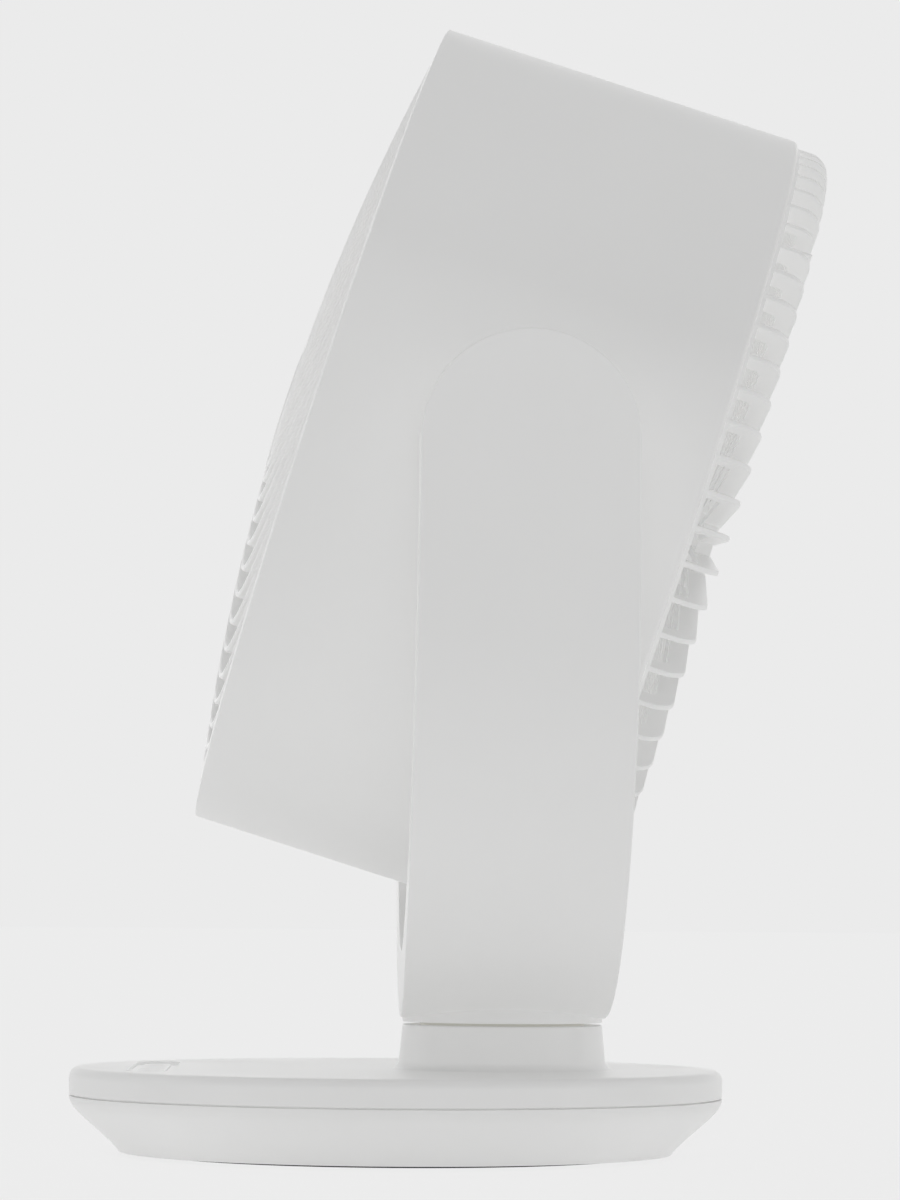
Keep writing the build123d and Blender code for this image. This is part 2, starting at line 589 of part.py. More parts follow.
def motor_housing():
    cup = disc(MOTOR_R, MOTOR_FRONT, MOTOR_BACK) - disc(MOTOR_R - MOTOR_WALL, 40, MOTOR_BACK - MOTOR_WALL)
    cup += ring(10, 8, MOTOR_BACK - 7, MOTOR_BACK - 1)
    cup += four_round(Pos(MOTOR_SCREW_R, 0, 0) * disc(3.4, MOTOR_BACK - 6, MOTOR_BACK - 1))
    return HEAD * (cup - four_round(Pos(MOTOR_SCREW_R, 0, 0) * disc(1.45, MOTOR_BACK - 5, MOTOR_BACK + 1)))


def motor_screws():
    one = Pos(MOTOR_SCREW_R, 0, REAR_BACK - 4.1) * screw(2.9, 1.7, 1.4, 6)
    return [HEAD * each for each in four_round(one)]


def motor_front_cap():
    seat = ring(10, 8, MOTOR_FRONT - 4, MOTOR_FRONT + 2)
    return HEAD * (ring(MOTOR_R, 8, MOTOR_FRONT - 2, MOTOR_FRONT) + seat)


def motor_bearing(low):
    return HEAD * ring(8 - 0.02, SHAFT_R + FIT, low, low + 4)


def motor_stator():
    stator = ring(MOTOR_R - MOTOR_WALL - FIT, 21.5, MOTOR_FRONT + 2.5, MOTOR_BACK - 7.2)
    for i in range(12):
        stator -= Rot(0, 0, 30 * i) * Pos(22.5, 0, 0) * Box(4.5, 3.0, 200)
    return HEAD * stator


def motor_rotor():
    return HEAD * ring(20.5, SHAFT_R + 0.01, MOTOR_FRONT + 2.6, MOTOR_BACK - 7.4)


def motor_shaft():
    return HEAD * disc(SHAFT_R, -36, MOTOR_BACK - MOTOR_WALL - 0.3)


def blade_section(radius, chord, pitch, sweep):
    """A cambered, round-nosed section standing square to the blade's radius."""
    half = chord / 2
    thick = 1.3
    upper = Spline((-half, 0), (-half * 0.4, chord * 0.075 + thick), (half * 0.4, chord * 0.07 + thick), (half, 0))
    lower = Spline((half, 0), (half * 0.4, chord * 0.07 - thick), (-half * 0.4, chord * 0.075 - thick), (-half, 0))
    face = make_face((Curve() + [upper, lower]).edges())
    place = Plane(origin=(radius, 0, 0), x_dir=(0, 1, 0), z_dir=(1, 0, 0)).location
    return place * Pos(sweep, 0, 0) * Rot(0, 0, pitch) * face


def impeller():
    sections = [(20, 40, 50, 0), (58, 58, 37, 4), (92, 74, 29, 12), (122, 84, 24, 24)]
    blade = loft([blade_section(*s) for s in sections])
    blade &= ring(BLADE_TIP_R, HUB_R - 1.5, -60, 60)
    hub = fillet(disc(HUB_R, -30, 37).edges().group_by(Axis.Z)[0], 6)
    hub -= disc(HUB_R - 2.5, -27, 40)
    hub += disc(8, -28, 30)
    for i in range(BLADES):
        hub += block((7, HUB_R - 1), (-1, 1), (-28, 20)).rotate(Axis.Z, 360 / BLADES * i)
    hub += [Rot(0, 0, 360 / BLADES * i) * blade for i in range(BLADES)]
    return HEAD * (hub - disc(SHAFT_R + 0.01, -40, 40))


def impeller_nut():
    body = extrude(RegularPolygon(9.5, 6), amount=6)
    body = Pos(0, 0, -36) * body & turned(
        Line((0, -37), (6.5, -37)), Line((6.5, -37), (9.5, -34)), Line((9.5, -34), (9.5, -30)),
        Line((9.5, -30), (0, -30)), Line((0, -30), (0, -37)))
    return HEAD * (body - disc(SHAFT_R + 0.01, -40, -20))


def trunnion(sign):
    """A hollow pivot pin: its flange is screwed to the drum and its stub turns in the yoke."""
    end = TILT_GEAR_X + 5.5 if sign > 0 else 144.5
    groove = end - 1.4
    pin = disc(15, 123.5, 126) + disc(10, 125.5, end)
    pin -= ring(12, 9.0, groove, groove + 0.8)
    for i in range(3):
        pin -= Rot(0, 0, 120 * i) * Pos(12.6, 0, 0) * disc(1.5, 120, 130)
    pin = pin - disc(5, 100, 160)
    return side(sign) * pin


def trunnion_screws():
    one = Pos(12.6, 0, 123.5) * Rot(180, 0, 0) * screw(2.2, 1.2, 1.25, 7)
    return [side(sign) * Rot(0, 0, 120 * i) * one for sign in (-1, 1) for i in range(3)]


def trunnion_clip(sign):
    groove = (TILT_GEAR_X + 5.5 if sign > 0 else 144.5) - 1.4
    clip = ring(12.5, 9.02, groove + 0.02, groove + 0.75)
    return side(sign) * (clip - block((-3, 3), (0, 20), (100, 160)))


def tilt_gear():
    wheel = Rot(0, 0, -90) * gear(TILT_TEETH, GEAR_WIDTH, 10.02)
    hub = ring(12, 10.02, 142.4 - TILT_GEAR_X, 0)
    return side(1) * Pos(0, 0, TILT_GEAR_X) * (wheel + hub)


# ---------------------------------------------------------------- write every piece
def pieces():
    """Every named piece of the fan with its solid or its group of like solids."""
    made = {
        "base_top_cover": base_top_cover(),
        "base_bottom_dish": base_bottom_dish(),
        "base_ballast": base_ballast(),
        "rubber_foot_ring": rubber_foot_ring(),
        "base_screws": base_screws(),
        "control_board": control_board(),
        "board_screws": board_screws(),
        "dc_inlet": dc_inlet(),
        "pan_motor": pan_motor(),
        "pan_motor_screws": pan_motor_screws(),
        "pan_pinion": pan_pinion(),
        "swivel_bush": swivel_bush(),
        "swivel_washer": swivel_washer(),
        "swivel_tube": swivel_tube(),
        "swivel_gear": swivel_gear(),
        "swivel_clip": swivel_clip(),
        "swivel_screws": swivel_screws(),
        "yoke_outer_cover": yoke_outer_cover(),
        "yoke_inner_shell": yoke_inner_shell(),
        "yoke_screws": yoke_screws(),
        "pivot_bush_left": pivot_bush(-1),
        "pivot_bush_right": pivot_bush(1),
        "tilt_motor": tilt_motor(),
        "tilt_motor_screws": tilt_motor_screws(),
        "tilt_pinion": tilt_pinion(),
        "tilt_gear": tilt_gear(),
        "drum_housing": drum_housing(),
        "front_grille": front_grille(),
        "front_badge": front_badge(),
        "rear_grille": rear_grille(),
        "rear_hub_cap": rear_hub_cap(),
        "rear_grille_screws": rear_grille_screws(),
        "motor_housing": motor_housing(),
        "motor_front_cap": motor_front_cap(),
        "motor_screws": motor_screws(),
        "motor_bearing_front": motor_bearing(MOTOR_FRONT - 4),
        "motor_bearing_rear": motor_bearing(MOTOR_BACK - 6.5),
        "motor_stator": motor_stator(),
        "motor_rotor": motor_rotor(),
        "motor_shaft": motor_shaft(),
        "impeller": impeller(),
        "impeller_nut": impeller_nut(),
        "trunnion_left": trunnion(-1),
        "trunnion_right": trunnion(1),
        "trunnion_screws": trunnion_screws(),
        "trunnion_clip_left": trunnion_clip(-1),
        "trunnion_clip_right": trunnion_clip(1),
    }
    for number, x in enumerate(BUTTON_X, start=1):
        made[f"push_button_{number}"] = push_button(x)
    return made


os.makedirs("parts", exist_ok=True)
for name, piece in pieces().items():
    if isinstance(piece, list):
        piece = Compound(children=piece)
    export_step(piece, f"parts/{name}.step")
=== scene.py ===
"""Air circulator fan: its visible shells, grilles and keys, their finishes, the light and the camera.

Every length is in metres. +Z is up, the fan blows towards -Y and the tilt pivot runs along X.
"""
import json
import logging
from dataclasses import dataclass
from enum import Enum, IntEnum
from math import atan2, cos, hypot, pi, radians, sin, sqrt, tan
from typing import Callable, Iterable, Sequence

import bmesh
import bpy
from bmesh.types import BMesh
from bpy.types import Material, Object
from mathutils import Matrix, Vector
from mathutils.geometry import interpolate_bezier


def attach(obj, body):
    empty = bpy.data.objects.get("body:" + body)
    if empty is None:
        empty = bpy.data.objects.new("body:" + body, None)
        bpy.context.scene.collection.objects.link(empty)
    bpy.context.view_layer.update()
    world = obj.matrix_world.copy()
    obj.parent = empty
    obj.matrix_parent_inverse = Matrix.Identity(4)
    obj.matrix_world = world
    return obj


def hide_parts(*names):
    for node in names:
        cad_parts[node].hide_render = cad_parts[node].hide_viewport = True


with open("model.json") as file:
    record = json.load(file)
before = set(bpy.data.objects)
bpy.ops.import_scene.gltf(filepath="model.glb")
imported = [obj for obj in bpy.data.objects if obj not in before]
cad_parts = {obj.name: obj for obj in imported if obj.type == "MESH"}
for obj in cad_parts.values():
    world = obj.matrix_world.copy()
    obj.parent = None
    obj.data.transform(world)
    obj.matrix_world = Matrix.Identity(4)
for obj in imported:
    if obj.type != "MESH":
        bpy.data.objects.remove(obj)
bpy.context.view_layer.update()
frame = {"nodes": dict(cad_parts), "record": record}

log = logging.getLogger("fan")

MM = 0.001
Outline = Sequence[tuple[float, float, float]]
Colour = tuple[float, float, float]


class Facets(IntEnum):
    """How many facets stand for a full circle."""

    BOSS = 24
    SCREW = 32
    STEM = 48
    BORE = 64
    PAD = 72
    DISC = 96
    RING = 120
    NECK = 128
    BASE = 180
    DRUM = 240


class Body(Enum):
    """The rigid bodies that the new pieces ride on."""

    BASE = "base"
    KEY_1 = "key_1"
    KEY_2 = "key_2"
    KEY_3 = "key_3"
    KEY_4 = "key_4"
    KEY_5 = "key_5"
    YOKE = "yoke"
    HEAD = "head"
    ROTOR = "rotor"


class Slot(Enum):
    """The record's material slots that new pieces take their finish from."""

    SHELL = "white_shell"
    GRILLE = "white_grille"
    BADGE = "white_badge"
    KEY = "white_key"
    BLADE = "white_blade"


class Cut(Enum):
    """How a second solid changes the first."""

    TAKE_AWAY = "DIFFERENCE"
    JOIN = "UNION"
    KEEP_COMMON = "INTERSECT"


# ---------------------------------------------------------------- finishes
def grey(level: float) -> tuple[float, float, float, float]:
    """A neutral colour."""
    return level, level, level, 1


def put(tree: bpy.types.NodeTree, kind: str, *values: object, **named: object) -> bpy.types.Node:
    """Adds a node and fills its inputs.

    Args:
        tree: The material's or the surround's tree.
        kind: The node's type, without the prefix that all share.
        values: Its first inputs in order, each a number, a colour or another node's output.
        named: Inputs by name, with _ for a space.

    Returns:
        The new node.
    """
    node = tree.nodes.new("ShaderNode" + kind)
    for key, value in [*enumerate(values), *((name.replace("_", " "), v) for name, v in named.items())]:
        if isinstance(value, bpy.types.NodeSocket):
            tree.links.new(value, node.inputs[key])
        else:
            node.inputs[key].default_value = value
    return node


class NodeSheet:
    """A material's node tree, with short calls for the nodes that the finishes share."""

    def __init__(self, name: str) -> None:
        """Starts an empty material.

        Args:
            name: The material's name.
        """
        self.material = bpy.data.materials.new(name)
        self.material.use_nodes = True
        self.tree = self.material.node_tree
        self.tree.nodes.clear()
        self.shader = put(self.tree, "BsdfPrincipled")
        put(self.tree, "OutputMaterial", self.shader.outputs["BSDF"])
        self.place = put(self.tree, "TexCoord").outputs["Object"]

    def link(self, a: bpy.types.NodeSocket, b: bpy.types.NodeSocket) -> None:
        """Joins output a to input b."""
        self.tree.links.new(a, b)

    def noise(self, size: float, detail: float, roughness: float = 0.5) -> bpy.types.NodeSocket:
        """Noise whose blotches are about size metres across.

        Args:
            size: Width of a blotch.
            detail: How many finer layers the noise has.
            roughness: How strong the finer layers are.

        Returns:
            The noise value, around 0.5.
        """
        return put(self.tree, "TexNoise", Vector=self.place, Scale=0.5 / size, Detail=detail,
                   Roughness=roughness).outputs["Fac"]

    def spread(self, value: bpy.types.NodeSocket, low: float, high: float) -> bpy.types.NodeSocket:
        """Stretches the middle of a noise to the range from low to high."""
        return put(self.tree, "MapRange", Value=value, From_Min=0.3, From_Max=0.7, To_Min=low,
                   To_Max=high).outputs["Result"]

    def tint(self, factor: bpy.types.NodeSocket, dark: Colour, light: Colour) -> None:
        """Colours the surface between two shades by factor."""
        node = put(self.tree, "Mix")
        node.data_type = "RGBA"
        node.inputs["A"].default_value = (*dark, 1)
        node.inputs["B"].default_value = (*light, 1)
        self.link(factor, node.inputs["Factor"])
        self.link(node.outputs["Result"], self.shader.inputs["Base Color"])

    def relief(self, height: bpy.types.NodeSocket, depth: float) -> None:
        """Raises the surface by height times depth metres."""
        bump = put(self.tree, "Bump", Distance=depth, Height=height)
        self.link(bump.outputs["Normal"], self.shader.inputs["Normal"])


def shade(colour: Colour, factor: float) -> Colour:
    """The same colour, lighter or darker by factor."""
    return tuple(min(1.0, channel * factor) for channel in colour)


@dataclass(frozen=True)
class MouldedPlastic:
    """Moulded plastic with the fine grain of a spark-eroded tool."""

    name: str
    colour: Colour
    roughness: float
    grain_size: float = 0.35 * MM
    grain_depth: float = 0.012 * MM
    mottle: float = 0.012
    mottle_size: float = 55 * MM
    sheen: float = 0.035          # how far the roughness wanders
    sheen_size: float = 18 * MM
    coat: float = 0.0

    def build(self) -> Material:
        """Makes the material."""
        sheet = NodeSheet(self.name)
        sheet.tint(sheet.spread(sheet.noise(self.mottle_size, 3), 0, 1), shade(self.colour, 1 - self.mottle),
                   shade(self.colour, 1 + self.mottle))
        sheet.link(sheet.spread(sheet.noise(self.sheen_size, 4), self.roughness - self.sheen,
                                self.roughness + self.sheen), sheet.shader.inputs["Roughness"])
        sheet.relief(sheet.noise(self.grain_size, 2, 0.6), self.grain_depth)
        sheet.shader.inputs["Coat Weight"].default_value = self.coat
        sheet.shader.inputs["Coat Roughness"].default_value = 0.25
        return sheet.material


@dataclass(frozen=True)
class Metal:
    """Bare, plated or cast metal."""

    name: str
    colour: Colour
    roughness: float
    grain_size: float
    grain_depth: float
    polish: float = 1.0

    def build(self) -> Material:
        """Makes the material."""
        sheet = NodeSheet(self.name)
        sheet.tint(sheet.spread(sheet.noise(self.grain_size * 8, 4), 0, 1), shade(self.colour, 0.88),
                   shade(self.colour, 1.08))
        sheet.link(sheet.spread(sheet.noise(self.grain_size * 3, 3), self.roughness - 0.06,
                                self.roughness + 0.06), sheet.shader.inputs["Roughness"])
        sheet.relief(sheet.noise(self.grain_size, 3), self.grain_depth)
        sheet.shader.inputs["Metallic"].default_value = self.polish
        return sheet.material


@dataclass(frozen=True)
class Striped:
    """Stacked laminations or printed tracks: fine parallel bands of two shades."""

    name: str
    dark: Colour
    light: Colour
    band: float
    roughness: float
    polish: float = 0.0

    def build(self) -> Material:
        """Makes the material."""
        sheet = NodeSheet(self.name)
        wave = put(sheet.tree, "TexWave", Vector=sheet.place, Scale=0.31 / self.band, Distortion=0.6)
        wave.bands_direction = "Y"
        sheet.tint(wave.outputs["Fac"], self.dark, self.light)
        sheet.relief(wave.outputs["Fac"], 0.03 * MM)
        sheet.shader.inputs["Roughness"].default_value = self.roughness
        sheet.shader.inputs["Metallic"].default_value = self.polish
        return sheet.material


WHITE: Colour = (0.845, 0.845, 0.84)
FINISHES = {
    "white_shell": MouldedPlastic("satin white shell", WHITE, 0.46),
    "white_grille": MouldedPlastic("satin white grille", shade(WHITE, 1.02), 0.42),
    "white_badge": MouldedPlastic("smooth white disc", shade(WHITE, 1.03), 0.28, coat=0.25),
    # the keys' white is 4% darker than the shell: painted shade of the recess they sit in
    "white_key": MouldedPlastic("smooth white key", shade(WHITE, 0.96), 0.36, grain_depth=0.004 * MM),
    "white_blade": MouldedPlastic("smooth white blade", shade(WHITE, 1.0), 0.33, grain_depth=0.004 * MM),
    "black_rubber": MouldedPlastic("matt black rubber", (0.03, 0.03, 0.031), 0.78, grain_depth=0.04 * MM),
    "natural_acetal": MouldedPlastic("natural acetal", (0.66, 0.65, 0.60), 0.4),
    "black_plastic": MouldedPlastic("black socket plastic", (0.03, 0.03, 0.032), 0.5),
    "zinc_steel": Metal("zinc-plated steel", (0.60, 0.60, 0.58), 0.34, 1.2 * MM, 0.01 * MM),
    "ground_steel": Metal("ground steel", (0.62, 0.62, 0.62), 0.24, 0.6 * MM, 0.004 * MM),
    "laminated_core": Striped("laminated core", (0.10, 0.09, 0.085), (0.24, 0.22, 0.21), 1.0 * MM, 0.5, 0.8),
    "cast_ballast": Metal("cast iron", (0.09, 0.09, 0.095), 0.62, 1.5 * MM, 0.12 * MM, 0.7),
    "green_board": Striped("green circuit board", (0.02, 0.12, 0.05), (0.03, 0.17, 0.07), 1.3 * MM, 0.4),
    "motor_can": Metal("galvanised can", (0.52, 0.53, 0.54), 0.38, 2.5 * MM, 0.01 * MM),
}


# ---------------------------------------------------------------- shaping
def turn(outline: Outline, steps: int = Facets.BASE, soft: int = 4) -> BMesh:
    """Turns a closed outline about Z and rounds the corners that ask for it.

    Args:
        outline: The corners as (radius, height, rounding), in order.
        steps: Facets round the axis.
        soft: Facets across each rounding.

    Returns:
        The closed solid.
    """
    bm = bmesh.new()
    corners = [bm.verts.new((r, 0, z)) for r, z, _ in outline]
    pairs = zip(corners, corners[1:] + corners[:1])
    edges = [bm.edges.new((a, b)) for a, b in pairs if a.co.x > 0 or b.co.x > 0]
    bmesh.ops.spin(bm, geom=corners + edges, axis=(0, 0, 1), cent=(0, 0, 0), angle=2 * pi, steps=steps,
                   use_merge=True)
    bmesh.ops.remove_doubles(bm, verts=bm.verts, dist=1e-7)
    bmesh.ops.dissolve_degenerate(bm, dist=1e-8, edges=bm.edges)
    for r, z, rounding in outline:
        if rounding > 0:
            hoop = [e for e in bm.edges if all(abs(hypot(v.co.x, v.co.y) - r) < 1e-6
                                               and abs(v.co.z - z) < 1e-6 for v in e.verts)]
            bmesh.ops.bevel(bm, geom=hoop, offset=rounding, offset_type="OFFSET", segments=soft, profile=0.5,
                            affect="EDGES", material=-1, clamp_overlap=True)
    bmesh.ops.recalc_face_normals(bm, faces=bm.faces)
    return bm


def prism(corners: Sequence[Vector], push: Vector) -> BMesh:
    """Extrudes a flat outline.

    Args:
        corners: The outline's corners in order.
        push: How far and which way it is extruded.

    Returns:
        The closed solid.
    """
    bm = bmesh.new()
    face = bm.faces.new([bm.verts.new(c) for c in corners])
    made = bmesh.ops.extrude_face_region(bm, geom=[face])
    pushed = [g for g in made["geom"] if isinstance(g, bmesh.types.BMVert)]
    bmesh.ops.translate(bm, verts=pushed, vec=push)
    bmesh.ops.recalc_face_normals(bm, faces=bm.faces)
    return bm


def rod(radius: float, start: Vector, end: Vector, steps: int = Facets.STEM) -> BMesh:
    """A round bar from start to end."""
    bm = bmesh.new()
    along = end - start
    turned = along.to_track_quat("Z", "Y").to_matrix().to_4x4()
    bmesh.ops.create_cone(bm, cap_ends=True, segments=steps, radius1=radius, radius2=radius,
                          depth=along.length, matrix=Matrix.Translation((start + end) / 2) @ turned)
    return bm


def post(radius: float, x: float, y: float, low: float, high: float, steps: int = Facets.STEM) -> BMesh:
    """An upright round bar."""
    return rod(radius, Vector((x, y, low)), Vector((x, y, high)), steps)


def arc(centre: tuple[float, float], radius: float, start: float, end: float,
        steps: int) -> list[tuple[float, float]]:
    """Points along an arc, both ends included; angles in radians."""
    turn_by = (end - start) / steps
    return [(centre[0] + radius * cos(start + turn_by * i), centre[1] + radius * sin(start + turn_by * i))
            for i in range(steps + 1)]


def rounded(before: tuple[float, float], corner: tuple[float, float], after: tuple[float, float],
            radius: float, steps: int) -> list[tuple[float, float]]:
    """The arc that rounds a corner between two straight lines.

    Args:
        before: A point on the line into the corner.
        corner: The corner itself.
        after: A point on the line out of the corner.
        radius: The arc's radius.
        steps: How many lines stand for the arc.

    Returns:
        The arc's points, from the first line to the second.
    """
    apex = Vector(corner)
    back, ahead = (Vector(before) - apex).normalized(), (Vector(after) - apex).normalized()
    half = back.angle(ahead) / 2
    centre = apex + (back + ahead).normalized() * (radius / sin(half))
    first = apex + back * (radius / tan(half)) - centre
    last = apex + ahead * (radius / tan(half)) - centre
    start = atan2(first.y, first.x)
    sweep = (atan2(last.y, last.x) - start + pi) % (2 * pi) - pi
    return arc(tuple(centre), radius, start, start + sweep, steps)


def box_solid(centre: Vector, size: Vector) -> BMesh:
    """A square-edged block, which is always cut, rounded or joined to something."""
    bm = bmesh.new()
    bmesh.ops.create_cube(bm, size=1, matrix=Matrix.Translation(centre) @ Matrix.Diagonal((*size, 1)))
    return bm


def stands_upright(edge: bmesh.types.BMEdge) -> bool:
    """True for an edge along Z."""
    along = edge.verts[0].co - edge.verts[1].co
    return hypot(along.x, along.y) < 1e-7


def moved(bm: BMesh, matrix: Matrix) -> BMesh:
    """The same solid at another place."""
    bmesh.ops.transform(bm, matrix=matrix, verts=bm.verts)
    return bm


def joined(solids: Iterable[BMesh]) -> BMesh:
    """Several solids in one mesh."""
    whole = bmesh.new()
    for solid in solids:
        loose = bpy.data.meshes.new("loose")
        solid.to_mesh(loose)
        solid.free()
        whole.from_mesh(loose)
        bpy.data.meshes.remove(loose)
    return whole


def side_pins(radius: float, y: float, z: float, start: float, end: float, steps: int) -> BMesh:
    """Two level bars along X, one on each side, from start to end."""
    return joined(rod(radius, Vector((sign * start, y, z)), Vector((sign * end, y, z)), steps)
                  for sign in (-1, 1))


def round_copies(make: Callable[[], BMesh], count: int, first: float = 0.0) -> BMesh:
    """Makes a solid several times, evenly spaced round Z.

    Args:
        make: Makes the solid, each time anew.
        count: How many there are.
        first: The first one's angle in degrees.

    Returns:
        All of them in one mesh.
    """
    return joined(moved(make(), Matrix.Rotation(radians(first + 360 / count * i), 4, "Z"))
                  for i in range(count))


def carve(solid: BMesh, tool: BMesh, cut: Cut) -> BMesh:
    """Cuts, joins or crosses two solids.

    Args:
        solid: The solid that is worked on.
        tool: The second solid.
        cut: What the second solid does.

    Returns:
        The result; both inputs are used up.
    """
    both = []
    for name, bm in (("blank", solid), ("tool", tool)):
        mesh = bpy.data.meshes.new(name)
        bm.to_mesh(mesh)
        bm.free()
        both.append(bpy.data.objects.new(name, mesh))
        bpy.context.scene.collection.objects.link(both[-1])
    step = both[0].modifiers.new("cut", "BOOLEAN")
    step.solver = "EXACT"
    step.operation = cut.value
    step.object = both[1]
    shaped = both[0].evaluated_get(bpy.context.evaluated_depsgraph_get())
    result = bmesh.new()
    result.from_mesh(shaped.to_mesh())
    for piece in both:
        mesh = piece.data
        bpy.data.objects.remove(piece)
        bpy.data.meshes.remove(mesh)
    bmesh.ops.remove_doubles(result, verts=result.verts, dist=1e-7)
    bmesh.ops.dissolve_limit(result, angle_limit=radians(0.05), verts=result.verts, edges=result.edges)
    return result


def soften(bm: BMesh, chosen: Callable[[bmesh.types.BMEdge], bool], width: float, steps: int = 4) -> BMesh:
    """Rounds the chosen edges."""
    edges = [e for e in bm.edges if len(e.link_faces) == 2 and chosen(e)]
    bmesh.ops.bevel(bm, geom=edges, offset=width, offset_type="OFFSET", segments=steps, profile=0.5,
                    affect="EDGES", material=-1, clamp_overlap=True)
    return bm


class Bench:
    """Makes finished pieces out of solids and keeps the materials."""

    def __init__(self) -> None:
        """Makes every finish once."""
        self.materials = {slot: finish.build() for slot, finish in FINISHES.items()}

    def finish_piece(self, name: str, solid: BMesh, body: Body, slot: Slot, stands_for: Sequence[str],
                     crease: float = 32.0) -> Object:
        """Turns a solid into a finished piece of the fan.

        Args:
            name: The piece's name.
            solid: Its shape, in place.
            body: The body that it rides on.
            slot: Its finish.
            stands_for: The plain pieces that it replaces.
            crease: Edges sharper than this many degrees stay sharp.

        Returns:
            The new object.
        """
        mesh = bpy.data.meshes.new(name)
        solid.to_mesh(mesh)
        solid.free()
        mesh.shade_smooth()
        mesh.set_sharp_from_angle(angle=radians(crease))
        piece = bpy.data.objects.new(name, mesh)
        bpy.context.scene.collection.objects.link(piece)
        even = piece.modifiers.new("even shading", "WEIGHTED_NORMAL")
        even.keep_sharp = True
        even.weight = 100
        mesh.materials.append(self.materials[slot.value])
        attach(piece, body.value)
        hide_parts(*stands_for)
        log.info("%s: %d faces", name, len(mesh.polygons))
        return piece

    def dress_remaining(self) -> None:
        """Gives every piece that keeps its plain shape its own finish."""
        for part in frame["record"]["subparts"]:
            node = frame["nodes"][part["node"]]
            node.data.materials.clear()
            node.data.materials.append(self.materials[part["material_slot"]])
            log.info("%s keeps its shape, finish %s", part["node"], part["material_slot"])


# ---------------------------------------------------------------- where things are
PAN_Y = 33.7 * MM             # the swivel axis
PIVOT_Z = 214.5 * MM          # the tilt pivot's height
LEAN = radians(17.43)         # how far the drum leans back at rest
DRUM_AHEAD = 3.4 * MM
REARWARD = Vector((0, cos(LEAN), -sin(LEAN)))
DRUM_CENTRE = Vector((0, PAN_Y, PIVOT_Z)) - REARWARD * DRUM_AHEAD
HEAD_PLACE = Matrix.Translation(DRUM_CENTRE) @ Matrix((
    (1, 0, 0), (0, -sin(LEAN), cos(LEAN)), (0, -cos(LEAN), -sin(LEAN)))).to_4x4()
PAN_PLACE = Matrix.Translation((0, PAN_Y, 0))


